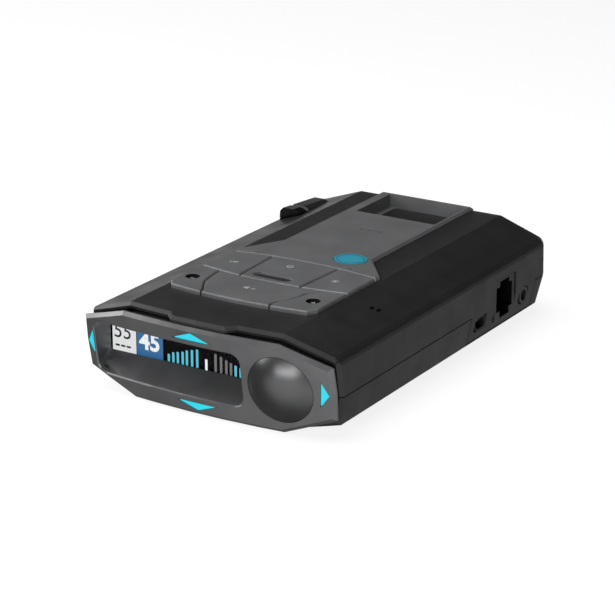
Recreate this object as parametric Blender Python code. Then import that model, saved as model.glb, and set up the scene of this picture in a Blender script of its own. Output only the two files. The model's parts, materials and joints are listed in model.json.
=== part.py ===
"""A dashboard radar detector with a bowed display face, a key deck and a mount dock.

X is to the right of the driver who faces the display, +Y points away from the driver and +Z up.
The drawing below is in millimetres, with y = 0 at the middle of the face and z = 0 at the underside.
finish_model() scales it to metres and puts the origin at the middle of the underside.
"""
import math

import bmesh
import bpy
from mathutils import Matrix, Vector

METRES_PER_MM = 0.001
GAP = 0.3
# How far a cutter or a joined piece reaches past the surface that it meets
REACH = 3.0
OUTSIDE = 60.0

# Casing, seen from the front: half widths and heights of its corners
HALF_CREASE = 26.0
HALF_SHOULDER = 42.3
HALF_SPLIT = 42.6
HALF_LOWER = 40.8
HALF_BOTTOM = 25.5
TOP_Z = 29.7
SHOULDER_Z = 24.2
SPLIT_Z = 12.8
LOWER_Z = 3.6
WALL = 1.8
# Places of the two widest corners in the list that case_section() gives
SPLIT_CORNERS = (2, 7)

# Casing, seen from the side
CASE_FRONT_Y = 4.0
CASE_BACK_Y = 135.0
BOTTOM_BACK_SLOPE = 2.0 / SPLIT_Z
EDGE_CHAMFER = 1.0
SHOULDER_ROUND = 1.8

# The whole front end is bowed in plan and leans towards the driver at its top
FRONT_BOW = 0.00203
FRONT_LEAN = 0.15
FACE_MID_Z = 13.9
FRONT_ZONE_Y = 6.0
BOW_STATION_STEP = 6.0

# Lip of the upper shell over the neck groove, seen from above
FRONT_TAB = [(-12.4, 8.0), (-12.4, 4.6), (-9.2, 1.5), (9.2, 1.5), (12.4, 4.6), (12.4, 8.0)]
FRONT_TAB_THICKNESS = 1.75

# Two small slots through the right shoulder, above the microphone
EAR_SLOTS = ((32.6, 40.9), (34.4, 41.7))
EAR_SLOT_HALF_WIDTH = 0.5
EAR_SLOT_HALF_LENGTH = 1.2

# Face: the right halves of its outline and of the neck behind it, from bottom to top
FACE_HALF = [(25.4, 1.2), (41.1, 7.4), (41.5, 15.2), (41.1, 22.1), (26.1, 26.7)]
NECK_HALF = [(24.5, 2.4), (39.3, 8.0), (40.0, 15.0), (39.7, 21.2), (24.8, 26.7)]
FACE_CHAMFER = 1.1
FACE_RIM_Y = 1.6
FACE_THICKNESS = 3.0
NECK_END_Y = 9.5
NECK_WALL = 1.5

# Display tunnel: x from and to, z from and to, at the face and at the pane
TUNNEL_OPENING = (-38.6, 13.8, 5.9, 22.3)
TUNNEL_BACK = (-38.3, 13.6, 10.8, 21.4)
TUNNEL_DEPTH = 10.0
TUNNEL_WALL = 1.2
TUNNEL_FRONT_ROUND = 3.0
TUNNEL_BACK_ROUND = 1.0
TUNNEL_RIM = 0.4

# Display behind the tunnel
PANE_THICKNESS = 0.8
MODULE_THICKNESS = 1.9
DISPLAY_BOARD = (-37.0, 14.0, 6.5, 22.6)
DISPLAY_BOARD_THICKNESS = 1.2

# Domed sensor cover on the face
DOME_X = 26.1
DOME_Z = 13.9
DOME_RADIUS = 10.0
DOME_RISE = 3.4
DOME_STEPS = 7

# Direction arrows on the face, seen from the front
ARROWS = {
    "arrow_up": [(-7.6, 24.0), (4.0, 24.0), (-1.8, 26.1)],
    "arrow_down": [(-8.2, 3.9), (-1.8, 1.8), (4.0, 3.9)],
    "arrow_left": [(-41.2, 15.1), (-39.3, 11.6), (-39.3, 18.6)],
    "arrow_right": [(38.2, 11.0), (40.8, 14.5), (38.8, 18.0)],
}
ARROW_DEPTH = 1.0
ARROW_GAP = 0.15

# Key deck, seen from above
DECK_HALF_WIDTH = 25.2
DECK_CORNER_X = 23.4
DECK_CORNER_Y = 22.8
# Each side's knee, where the deck grows narrower: x and y at its front and at its back
RIGHT_KNEE = ((DECK_HALF_WIDTH, 58.2), (15.7, 70.4))
LEFT_KNEE = ((-DECK_HALF_WIDTH, 60.0), (-18.3, 73.2))
# Three bowed lines across the deck, each with its y in the middle and its rise at the deck's side
FRONT_LINE = (18.1, 2.2)
MIDDLE_LINE = (36.2, 2.8)
REAR_LINE = (57.8, -2.6)

# Key deck, seen from the side
DECK_BASE_Z = 27.8
DECK_TOP_Z = 30.7
DECK_RIM = 0.8
KEY_FLOOR_Z = 28.8
KEY_TRAVEL = 0.4
KEY_BOTTOM_Z = KEY_FLOOR_Z + KEY_TRAVEL + 0.2
KEY_TOP_Z = 31.0
KEY_SPLIT = 0.4
HALF_KEY_SPLIT = KEY_SPLIT / 2
KEY_EDGE = 0.35

# Keys: where each stem stands, and the lines that part the caps
KEY_STEMS = {
    "sensitivity_button": (-18.3, 47.0),
    "power_button": (0.0, 47.0),
    "brightness_button": (18.3, 47.0),
    "mute_button": (0.0, 28.0),
    "volume_down_button": (-21.2, 33.6),
    "volume_up_button": (21.2, 33.6),
}
STEM_RADIUS = 1.4
STEM_BOTTOM_Z = 25.7
POWER_FRONT_HALF = 10.3
POWER_BACK_HALF = 11.4
# S-shaped splits between the mute key and its wings, from the front edge to the middle line. Each has its
# x on the front edge, the points between, and its x on the middle line; the left one is given with x turned
RIGHT_SPLIT = (11.6, [(11.2, 20.6), (11.7, 23.1), (13.4, 25.9), (14.6, 29.5), (15.2, 33.4), (16.5, 35.8)],
               17.6)
LEFT_SPLIT = (11.9, [(12.9, 21.3), (14.8, 24.3), (16.2, 27.0), (16.9, 30.2), (17.5, 34.1)], 17.9)
FINGER_SLOT = [(-8.2, 40.4), (-6.6, 38.6), (4.4, 38.6), (5.9, 40.4), (4.4, 42.2), (-6.6, 42.2)]
FINGER_SLOT_DEPTH = 0.5
LEFT_DISH = (-21.5, 28.5)
RIGHT_DISH = (20.3, 28.4)
DISH_RADIUS = 2.2
DISH_FLOOR_RADIUS = 1.4
DISH_DEPTH = 0.75

# Oval badge on the rear deck
BADGE_X = 9.5
BADGE_Y = 67.4
BADGE_HALF_WIDTH = 5.2
BADGE_HALF_DEPTH = 4.7
BADGE_SINK = 0.3
BADGE_RISE = 0.1

# Mount dock at the far end of the deck
DOCK_HALF_WIDTH = 14.3
DOCK_FRONT_Y = 111.0
DOCK_BACK_Y = 132.6
DOCK_FLOOR_Z = 26.4
DOCK_WALL = 1.7
TUB_INSET = 0.3
DOCK_UNDERSIDE_Z = 24.6
DOCK_PLATE_HALF_WIDTH = 10.5
DOCK_PLATE_MARGIN = 3.2
DOCK_PLATE_THICKNESS = 0.8

# Release slider and its guard on the left shoulder
SLIDER_FRONT_Y = 105.2
SLIDER_BACK_Y = 110.0
SLIDER_TRAVEL = 1.0
GUARD_FRONT_Y = SLIDER_BACK_Y + SLIDER_TRAVEL + GAP
GUARD_BACK_Y = 125.6
GUARD_LIFT = -1.4
SLIDER_OUTER_X = -40.0
SLIDER_INNER_X = -32.6
SLIDER_TOP_Z = 29.3
SLIDER_TOP_SLOPE = 0.078
SLIDER_EDGE = 0.6
TONGUE_Y = (106.2, 109.2)
TONGUE_HALF_WIDTH = 1.2
TONGUE_BOTTOM_Z = 22.0

# Spring behind the slider's tongue
SPRING_X = -36.8
SPRING_Y = (110.6, 116.9)
SPRING_Z = 22.95
SPRING_TURNS = 6
SPRING_COIL_RADIUS = 0.75
SPRING_WIRE_RADIUS = 0.18

# Sockets on the right side, each with its middle's y and z
USB_Y, USB_Z = 90.7, 9.2
USB_HALF_WIDTH, USB_HALF_HEIGHT = 3.4, 1.9
MODULAR_Y, MODULAR_Z = 106.4, 13.0
MODULAR_HALF_WIDTH, MODULAR_HALF_HEIGHT = 6.5, 6.4
MODULAR_FACE_X = 42.1
AUDIO_Y, AUDIO_Z = 119.4, 9.8
AUDIO_RING_RADIUS = 2.8
AUDIO_BORE_RADIUS = 1.8
# The upper shell reaches down round the sockets: y from, y to, and its lowest z
PORT_TAB = (84.0, 126.7, 4.2)

# Dark window in the far wall, and the laser lens in it
WINDOW_HALF_WIDTH = 35.5
WINDOW_Z = (14.7, 23.3)
WINDOW_THICKNESS = 1.7
LENS_X = -32.0
LENS_Z = 19.0
LENS_RADIUS = 3.4
LENS_STEPS = 4

# Main board, what stands on it, and its posts
BOARD_Z = 20.0
BOARD_TOP_Z = 21.6
BOARD_HALF_WIDTH = 37.5
BOARD_FRONT_Y = 23.8
BOARD_BACK_Y = 121.3
BOARD_POSTS = ((-34.0, 36.0), (34.0, 72.0), (-34.0, 100.0), (9.0, 86.0))
BOARD_POST_RADIUS = 2.0
POST_ROOT = 0.9
SHIELD_BOX = (-31.0, -13.0, 74.0, 94.0)
SHIELD_TOP_Z = 24.2
ANTENNA_BOX = (-9.0, 9.0, 74.0, 92.0)
ANTENNA_TOP_Z = 25.6
MICROPHONE = (33.2, 42.0, 2.0)
MICROPHONE_TOP_Z = 23.6
SWITCH_HALF_WIDTH = 3.0
SWITCH_TOP_Z = 24.0
PLUNGER_RADIUS = 1.5
PLUNGER_TOP_Z = 25.2

# Under the board: x from and to, y from and to, z from and to
FRONT_HORN = (-20.0, 20.0, 94.5, 129.0, 3.0, 18.8)
REAR_HORN = (1.0, 29.0, 24.2, 54.0, 3.2, 17.4)
HORN_RIM = 1.6
HORN_THROAT_HALF = (5.5, 2.5)
HORN_THROAT_DEPTH = 8.0
RF_MODULE = (-4.0, 30.0, 57.0, 82.0, 5.0, 14.0)
FRONT_LASER_BOX = (-35.6, -28.4, 124.2, 130.4, 15.4, 22.6)
REAR_LASER_BOX = (22.4, 30.4, 6.8, 12.8, 10.2, 18.2)
SENSOR_EDGE = 0.8
SPEAKER_X = -17.5
SPEAKER_Y = 62.0
SPEAKER_PROFILE = ((12.5, 3.2), (12.5, 5.2), (8.5, 7.2), (8.5, 10.0))
GRILLE_PITCH = 3.0
GRILLE_SLOT_HALF = 0.8
GRILLE_HALF_WIDTH = 10.5
LABEL_RECESS = (-2.0, 22.0, 40.0, 100.0)
LABEL_DEPTH = 0.3

# Flat cable, seen from the side: its lower surface from the display board to the main board
CABLE_PATH = [(15.3, 17.5), (16.2, 17.5), (17.6, 18.0), (19.0, 18.8), (20.6, 19.2), (27.0, 19.2)]
CABLE_X = (-17.0, -5.0)
CABLE_THICKNESS = 0.4

# Screws that join the two covers, counterbored from below
SCREWS = ((-21.0, 19.5), (21.0, 19.5), (-25.0, 124.5), (25.0, 124.5))
SCREW_HEAD_RADIUS = 2.6
SCREW_HEAD_Z = (0.6, 2.1)
SCREW_SHANK_RADIUS = 1.25
SCREW_TOP_Z = 12.0
SCREW_SOCKET_RADIUS = 1.3
SCREW_WELL_RADIUS = 3.0
SCREW_WELL_TOP_Z = 2.4
SCREW_HOLE_RADIUS = 1.7
SCREW_PILOT_RADIUS = 1.6
POST_RADIUS = 2.8
BOSS_RADIUS = 4.2
BOSS_Z = (0.8, 4.6)

# Base colour with its alpha, roughness and metallic value of each kind of finish
FINISHES = {
    "black_shell": ((0.012, 0.012, 0.013, 1.0), 0.55, 0.0),
    "slider_black": ((0.008, 0.008, 0.009, 1.0), 0.22, 0.0),
    "grey_face": ((0.045, 0.046, 0.048, 1.0), 0.38, 0.1),
    "grey_deck": ((0.040, 0.041, 0.043, 1.0), 0.42, 0.1),
    "cyan_light": ((0.010, 0.650, 0.800, 1.0), 0.30, 0.0),
    "teal_badge": ((0.030, 0.280, 0.380, 1.0), 0.35, 0.0),
    "clear_pane": ((0.900, 0.920, 0.950, 0.25), 0.05, 0.0),
    "display_screen": ((0.008, 0.008, 0.010, 1.0), 0.12, 0.0),
    "circuit_board": ((0.010, 0.090, 0.040, 1.0), 0.45, 0.0),
    "black_nylon": ((0.015, 0.015, 0.016, 1.0), 0.50, 0.0),
    "plated_steel": ((0.420, 0.420, 0.430, 1.0), 0.30, 1.0),
    "cast_zinc": ((0.360, 0.360, 0.370, 1.0), 0.48, 1.0),
    "ceramic": ((0.550, 0.450, 0.340, 1.0), 0.50, 0.0),
    "dark_window": ((0.020, 0.004, 0.006, 1.0), 0.12, 0.0),
    "amber_film": ((0.420, 0.180, 0.030, 1.0), 0.40, 0.0),
}

# Pieces of each finish; the two covers are black_shell
PIECES_IN_FINISH = {
    "slider_black": ["release_slider"],
    "grey_face": ["front_bezel", "sensor_dome"],
    "grey_deck": ["button_plate", *KEY_STEMS],
    "cyan_light": [*ARROWS],
    "teal_badge": ["badge"],
    "clear_pane": ["display_window"],
    "display_screen": ["display_module"],
    "circuit_board": ["display_board", "main_board"],
    "black_nylon": ["modular_jack", "audio_jack", "speaker", "front_laser_sensor", "rear_laser_sensor",
                    "sensitivity_switch", "power_switch", "brightness_switch", "mute_switch",
                    "volume_down_switch", "volume_up_switch"],
    "plated_steel": ["dock_plate", "release_spring", "usb_port", "processor_shield", "microphone",
                     "case_screw_1", "case_screw_2", "case_screw_3", "case_screw_4"],
    "cast_zinc": ["front_horn", "rear_horn", "rf_module"],
    "ceramic": ["gps_antenna"],
    "dark_window": ["front_window", "front_lens"],
    "amber_film": ["display_cable"],
}

# Mesh clean-up, in millimetres and degrees
MERGE_DISTANCE = 0.002
SHARP_ANGLE = 28.0
BEVEL_ANGLE = 12.0


# ---------------------------------------------------------------- mesh helpers

def make_object(name, mesh_data):
    """Turn a bmesh into a scene object, with its faces pointing out."""
    bmesh.ops.recalc_face_normals(mesh_data, faces=mesh_data.faces)
    mesh = bpy.data.meshes.new(name)
    mesh_data.to_mesh(mesh)
    mesh_data.free()
    piece = bpy.data.objects.new(name, mesh)
    bpy.context.collection.objects.link(piece)
    return piece


def loft(name, rings, fold=()):
    """Closed solid through rings with equal numbers of points; the last end may fold between two points."""
    shape = bmesh.new()
    loops = [[shape.verts.new(point) for point in ring] for ring in rings]
    count = len(rings[0])
    for lower, upper in zip(loops, loops[1:]):
        for index in range(count):
            after = (index + 1) % count
            shape.faces.new((lower[index], lower[after], upper[after], upper[index]))
    shape.faces.new(reversed(loops[0]))
    shape.faces.new(loops[-1])
    if fold:
        bmesh.ops.connect_verts(shape, verts=[loops[-1][index] for index in fold])
    return make_object(name, shape)


def along_y(outline, y):
    """Points of an x, z outline at one y."""
    return [(x, y, z) for x, z in outline]


def prism(name, outline, axis, start, end):
    """Extrude a flat outline along an axis: (x, z) along y, (x, y) along z, (y, z) along x."""
    place = {
        "x": lambda a, b, c: (c, a, b),
        "y": lambda a, b, c: (a, c, b),
        "z": lambda a, b, c: (a, b, c),
    }[axis]
    rings = [[place(a, b, level) for a, b in outline] for level in (start, end)]
    return loft(name, rings)


def box(name, x0, x1, y0, y1, z0, z1):
    outline = [(x0, y0), (x1, y0), (x1, y1), (x0, y1)]
    return prism(name, outline, "z", z0, z1)


def circle(a, b, radius, count=24):
    """Outline of a circle."""
    turns = [2.0 * math.pi * index / count for index in range(count)]
    return [(a + radius * math.cos(turn), b + radius * math.sin(turn)) for turn in turns]


def oval(a, b, half_width, half_height, count=28):
    """Outline of an ellipse."""
    return [(a + half_width * u, b + half_height * v) for u, v in circle(0, 0, 1.0, count)]


def rounded_box(a0, a1, b0, b1, radius, steps=4):
    """Outline of a rectangle with round corners."""
    corners = [(a1, b0, -90), (a1, b1, 0), (a0, b1, 90), (a0, b0, 180)]
    points = []
    for a, b, start in corners:
        centre_a = a - math.copysign(radius, a - (a0 + a1) / 2)
        centre_b = b - math.copysign(radius, b - (b0 + b1) / 2)
        for step in range(steps + 1):
            turn = math.radians(start + 90.0 * step / steps)
            points.append((centre_a + radius * math.cos(turn), centre_b + radius * math.sin(turn)))
    return points


def flipped(outline):
    """The outline on the other side of x = 0, still anticlockwise."""
    return [(-x, other) for x, other in reversed(outline)]


def mirrored(half):
    """A full outline from its right half, listed from bottom to top."""
    return half + flipped(half)


def outset(outline, distance):
    """Move each side of an anticlockwise outline out by a distance, with sharp corners."""
    count = len(outline)
    points = []
    for index, here in enumerate(outline):
        before = Vector(outline[index - 1])
        after = Vector(outline[(index + 1) % count])
        here = Vector(here)
        into = (here - before).normalized()
        out_of = (after - here).normalized()
        normal_in = Vector((into.y, -into.x))
        normal_out = Vector((out_of.y, -out_of.x))
        middle = (normal_in + normal_out).normalized()
        points.append(tuple(here + middle * distance / middle.dot(normal_in)))
    return points


def modify(piece, kind, **settings):
    """Add a modifier and keep its result as the piece's own mesh."""
    modifier = piece.modifiers.new(kind.title(), kind)
    for key, value in settings.items():
        setattr(modifier, key, value)
    graph = bpy.context.evaluated_depsgraph_get()
    result = bpy.data.meshes.new_from_object(piece.evaluated_get(graph))
    piece.modifiers.clear()
    piece.data = result


def combine(piece, operation, *tools):
    """Union, cut or intersect a piece with scratch solids, which are used up."""
    for tool in tools:
        modify(piece, "BOOLEAN", operation=operation, object=tool, solver="EXACT")
        bpy.data.objects.remove(tool)
    return piece


def cut(piece, *tools):
    return combine(piece, "DIFFERENCE", *tools)


def join(piece, *tools):
    return combine(piece, "UNION", *tools)


def bevel_edges(piece, choose, width, segments=1):
    """Bevel the edges whose two end points pass a test."""
    shape = bmesh.new()
    shape.from_mesh(piece.data)
    bmesh.ops.dissolve_limit(shape, angle_limit=math.radians(1), verts=shape.verts, edges=shape.edges)
    chosen = []
    for edge in shape.edges:
        first, second = (vertex.co for vertex in edge.verts)
        if edge.calc_face_angle(0.0) > math.radians(BEVEL_ANGLE) and choose(first, second):
            chosen.append(edge)
    bmesh.ops.bevel(shape, geom=chosen, offset=width, segments=segments, profile=0.5,
                    affect="EDGES", clamp_overlap=True)
    shape.to_mesh(piece.data)
    shape.free()
    return piece


def bevel_top(piece, top_z, width):
    """Bevel the edges round a piece's flat top."""
    return bevel_edges(piece, lambda a, b: min(a.z, b.z) > top_z - 0.01, width)


def sweep_offset(x, z):
    """How far the front end stands back at this x and z."""
    return FRONT_BOW * x * x - FRONT_LEAN * (z - FACE_MID_Z)


def bow_front(piece):
    """Bow and lean the part of a piece that lies in the front zone."""
    shape = bmesh.new()
    shape.from_mesh(piece.data)
    station = -HALF_SPLIT + BOW_STATION_STEP
    while station < HALF_SPLIT:
        faces = [face for face in shape.faces if min(v.co.y for v in face.verts) < FRONT_ZONE_Y]
        edges = {edge for face in faces for edge in face.edges}
        verts = {vertex for face in faces for vertex in face.verts}
        bmesh.ops.bisect_plane(shape, geom=list(verts) + list(edges) + faces, dist=0.001,
                               plane_co=(station, 0, 0), plane_no=(1, 0, 0))
        station += BOW_STATION_STEP
    bmesh.ops.triangulate(shape, faces=shape.faces)
    for vertex in shape.verts:
        if vertex.co.y < FRONT_ZONE_Y:
            vertex.co.y += sweep_offset(vertex.co.x, vertex.co.z)
    shape.to_mesh(piece.data)
    shape.free()
    return piece


# ---------------------------------------------------------------- casing

def case_section(shrink=0.0):
    """Front view of the casing, anticlockwise from the middle of the right underside."""
    half = [
        (HALF_BOTTOM, 0.0),
        (HALF_LOWER, LOWER_Z),
        (HALF_SPLIT, SPLIT_Z),
        (HALF_SHOULDER, SHOULDER_Z),
        (HALF_CREASE, TOP_Z),
    ]
    return outset(mirrored(half), -shrink)


def case_ring(y, shrink=0.0, side_pull=0.0, top_drop=0.0, slope=0.0):
    """One cross-section of the casing, pulled in at its sides and top, its lower half sloped."""
    ring = []
    for x, z in case_section(shrink):
        on_top = z > (SHOULDER_Z + TOP_Z) / 2
        pulled = x if on_top else x - math.copysign(side_pull, x) * min(1.0, abs(x) / HALF_LOWER)
        below = max(0.0, SPLIT_Z - z)
        ring.append((pulled, y - slope * below, z - (top_drop if on_top else 0.0)))
    return ring


def casing_solid(name):
    """Outer form: chamfered front rim, long faceted body, rounded far end."""
    rings = [
        case_ring(CASE_FRONT_Y, shrink=EDGE_CHAMFER),
        case_ring(CASE_FRONT_Y + EDGE_CHAMFER),
        case_ring(CASE_BACK_Y - 2.8, slope=BOTTOM_BACK_SLOPE),
        case_ring(CASE_BACK_Y - 0.9, side_pull=0.8, top_drop=0.1, slope=BOTTOM_BACK_SLOPE),
        case_ring(CASE_BACK_Y, side_pull=2.4, top_drop=0.6, slope=BOTTOM_BACK_SLOPE),
    ]
    solid = loft(name, rings, SPLIT_CORNERS)
    return bevel_edges(solid, is_shoulder_edge, SHOULDER_ROUND, 3)


def is_shoulder_edge(first, second):
    near_shoulder = all(abs(p.z - SHOULDER_Z) < 1.5 and abs(p.x) > HALF_SHOULDER - 7 for p in (first, second))
    return near_shoulder and abs(first.y - second.y) > 1.5


def casing_hollow(name):
    """Room inside the casing, open at the front."""
    rings = [
        case_ring(CASE_FRONT_Y - REACH, shrink=WALL),
        case_ring(CASE_BACK_Y - WALL - 1.5, shrink=WALL, slope=BOTTOM_BACK_SLOPE),
        case_ring(CASE_BACK_Y - WALL, shrink=WALL, side_pull=1.6, top_drop=0.4, slope=BOTTOM_BACK_SLOPE),
    ]
    return loft(name, rings, SPLIT_CORNERS)


def upper_zone(name, gap):
    """Region of the upper shell: above the split, and down round the sockets."""
    start, end, low = PORT_TAB
    zone = box(name, -OUTSIDE, OUTSIDE, -OUTSIDE, CASE_BACK_Y + OUTSIDE, SPLIT_Z + GAP / 2 - gap, OUTSIDE)
    tab = box("tab_zone", HALF_SHOULDER - 12, OUTSIDE, start - gap, end + gap, low - gap, SHOULDER_Z)
    return join(zone, tab)


def shoulder_z(x):
    """Height of the slanted shoulder at this x."""
    slope = (TOP_Z - SHOULDER_Z) / (HALF_SHOULDER - HALF_CREASE)
    return TOP_Z - (abs(x) - HALF_CREASE) * slope


def underside_z(x):
    """Height of the casing's underside at this x."""
    slope = LOWER_Z / (HALF_LOWER - HALF_BOTTOM)
    return max(0.0, (abs(x) - HALF_BOTTOM) * slope)


def front_tab():
    """Lip in the middle of the upper shell that reaches forward over the neck groove."""
    tab = prism("tab", FRONT_TAB, "z", TOP_Z - FRONT_TAB_THICKNESS, TOP_Z)
    inner_y = FRONT_TAB[0][1]
    return bevel_edges(tab, lambda a, b: min(a.z, b.z) > TOP_Z - 0.1 and max(a.y, b.y) < inner_y - 0.5,
                       EDGE_CHAMFER)


def slider_top_z(y):
    """Height of the slider's and its guard's top, which slopes down towards the far end."""
    return SLIDER_TOP_Z - SLIDER_TOP_SLOPE * (y - SLIDER_FRONT_Y)


def slider_block(name, lift, start, end):
    """Sloping block on the left shoulder, lifted off it at its far end, with bevelled ends."""
    top_z = slider_top_z(end)
    outline = [
        (SLIDER_OUTER_X, shoulder_z(SLIDER_OUTER_X) + lift),
        (SLIDER_INNER_X, shoulder_z(SLIDER_INNER_X) + lift),
        (SLIDER_INNER_X - 0.5, top_z - 0.8),
        (SLIDER_INNER_X - 2.2, top_z),
        (SLIDER_OUTER_X + 1.3, top_z),
        (SLIDER_OUTER_X + 0.2, top_z - 1.2),
    ]
    rise = SLIDER_TOP_SLOPE * (end - start)
    raised = [(x, z + rise) for x, z in outline]
    block = loft(name, [along_y(raised, start), along_y(outline, end)])
    return bevel_edges(block, is_slider_end_edge, SLIDER_EDGE)


def is_slider_end_edge(first, second):
    if abs(first.y - second.y) > 0.1 or max(first.x, second.x) > SLIDER_INNER_X - 0.4:
        return False
    return min(first.z, second.z) > slider_top_z(first.y) - 1.3


def ear_slot(x, y):
    """A short slot along y, through the right shoulder."""
    outline = rounded_box(x - EAR_SLOT_HALF_WIDTH, x + EAR_SLOT_HALF_WIDTH,
                          y - EAR_SLOT_HALF_LENGTH, y + EAR_SLOT_HALF_LENGTH, 0.2, 1)
    return prism("ear_slot", outline, "z", BOARD_TOP_Z, OUTSIDE)


def build_top_cover():
    cover = casing_solid("top_cover")
    cut(cover, casing_hollow("hollow"))
    combine(cover, "INTERSECT", upper_zone("zone", 0.0))
    join(cover, front_tab(), slider_block("guard", GUARD_LIFT, GUARD_FRONT_Y, GUARD_BACK_Y))
    # The plateau is thicker under the deck, which sits in a pocket
    join(cover, box("deck_support", -DECK_HALF_WIDTH - WALL, DECK_HALF_WIDTH + WALL, 15.5,
                    DOCK_FRONT_Y + 1.0, TOP_Z - 3.5, TOP_Z - 1.0))
    join(cover, box("spring_rib", SPRING_X - 1.6, SPRING_X + 1.8, SPRING_Y[1] + GAP, SPRING_Y[1] + 2.0,
                    TONGUE_BOTTOM_Z + 0.2, shoulder_z(SPRING_X) - 0.45))
    for x, y in SCREWS:
        join(cover, prism("post", circle(x, y, POST_RADIUS, 16), "z", BOSS_Z[1] + GAP, TOP_Z - 1.0))
        pilot = circle(x, y, SCREW_PILOT_RADIUS, 12)
        cut(cover, prism("pilot", pilot, "z", BOSS_Z[1] - 1.0, SCREW_TOP_Z + 2.0))
    cut(cover, prism("deck_pocket", outset(deck_outline(), GAP), "z", DECK_BASE_Z - GAP, OUTSIDE))
    cut(cover, box("dock_room", LEFT_KNEE[1][0] - GAP, RIGHT_KNEE[1][0] + GAP, DOCK_FRONT_Y - DOCK_WALL - GAP,
                   CASE_BACK_Y + REACH, DOCK_UNDERSIDE_Z - GAP, OUTSIDE))
    for x, y in KEY_STEMS.values():
        cut(cover, prism("stem_hole", circle(x, y, STEM_RADIUS + GAP, 16), "z", BOARD_Z, OUTSIDE))
    tongue_room = TONGUE_HALF_WIDTH + GAP
    cut(cover, box("slider_slot", SPRING_X - tongue_room, SPRING_X + tongue_room, TONGUE_Y[0] - GAP,
                   TONGUE_Y[1] + SLIDER_TRAVEL + GAP, BOARD_Z, OUTSIDE))
    cut(cover, *[ear_slot(x, y) for x, y in EAR_SLOTS])
    cut(cover, *socket_openings())
    cut(cover, box("window_room", -WINDOW_HALF_WIDTH - GAP, WINDOW_HALF_WIDTH + GAP, CASE_BACK_Y - 5,
                   CASE_BACK_Y + REACH, WINDOW_Z[0] - GAP, WINDOW_Z[1] + GAP))
    return bow_front(cover)


def socket_openings():
    """Holes through the right side wall for the three sockets."""
    outside = HALF_SPLIT + REACH
    usb = rounded_box(USB_Y - USB_HALF_WIDTH - GAP, USB_Y + USB_HALF_WIDTH + GAP,
                      USB_Z - USB_HALF_HEIGHT - 0.4, USB_Z + USB_HALF_HEIGHT + 0.4, 0.6, 2)
    modular_half_width = MODULAR_HALF_WIDTH + GAP
    modular_half_height = MODULAR_HALF_HEIGHT + GAP
    modular = rounded_box(MODULAR_Y - modular_half_width, MODULAR_Y + modular_half_width,
                          MODULAR_Z - modular_half_height, MODULAR_Z + modular_half_height, 0.4, 1)
    audio = circle(AUDIO_Y, AUDIO_Z, AUDIO_RING_RADIUS + 0.4, 20)
    return [
        prism("usb_room", usb, "x", HALF_SPLIT - 4.6, outside),
        prism("modular_room", modular, "x", HALF_SPLIT - 6.6, outside),
        prism("audio_room", audio, "x", HALF_SPLIT - 5.6, outside),
    ]


def grille_slots():
    """Rows of slots that together fill a circle under the speaker."""
    slots = []
    for row in range(-3, 4):
        half = GRILLE_HALF_WIDTH * math.cos(row / 4.4)
        y = SPEAKER_Y + row * GRILLE_PITCH
        outline = rounded_box(SPEAKER_X - half, SPEAKER_X + half, y - GRILLE_SLOT_HALF, y + GRILLE_SLOT_HALF,
                              GRILLE_SLOT_HALF - 0.01, 2)
        slots.append(prism("grille_slot", outline, "z", -REACH, WALL + 0.4))
    return slots


def build_bottom_cover():
    cover = casing_solid("bottom_cover")
    cut(cover, casing_hollow("hollow"))
    cut(cover, upper_zone("zone", GAP))
    for x, y in SCREWS:
        join(cover, prism("screw_boss", circle(x, y, BOSS_RADIUS, 16), "z", *BOSS_Z))
        cut(cover, prism("screw_well", circle(x, y, SCREW_WELL_RADIUS, 16), "z", -REACH, SCREW_WELL_TOP_Z))
        cut(cover, prism("screw_hole", circle(x, y, SCREW_HOLE_RADIUS, 12), "z", -REACH, BOSS_Z[1] + REACH))
    for x, y in BOARD_POSTS:
        post = circle(x, y, BOARD_POST_RADIUS, 10)
        join(cover, prism("board_post", post, "z", underside_z(x) + POST_ROOT, BOARD_Z - GAP))
    cut(cover, *grille_slots())
    cut(cover, prism("label_recess", rounded_box(*LABEL_RECESS, 2.0, 3), "z", -REACH, LABEL_DEPTH))
    return bow_front(cover)


# ---------------------------------------------------------------- face

def tunnel_outlines(room):
    """The display tunnel's outline at the face and at the pane, outset by a room."""
    front = outset(rounded_box(*TUNNEL_OPENING, TUNNEL_FRONT_ROUND), room)
    back = outset(rounded_box(*TUNNEL_BACK, TUNNEL_BACK_ROUND), room)
    return front, back


def tunnel_body():
    """Walls of the tunnel as a solid, from inside the face to the pane."""
    front, back = tunnel_outlines(TUNNEL_WALL)
    return loft("tunnel", [along_y(front, FACE_THICKNESS - 0.6), along_y(back, TUNNEL_DEPTH)])


def tunnel_room():
    """Room inside the tunnel, with a chamfered rim at the face."""
    front, back = tunnel_outlines(0.0)
    rim = outset(front, TUNNEL_RIM)
    return loft("tunnel_room", [
        along_y(rim, -REACH),
        along_y(rim, 0.0),
        along_y(front, TUNNEL_RIM),
        along_y(back, TUNNEL_DEPTH),
        along_y(back, TUNNEL_DEPTH + REACH),
    ])


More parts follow.
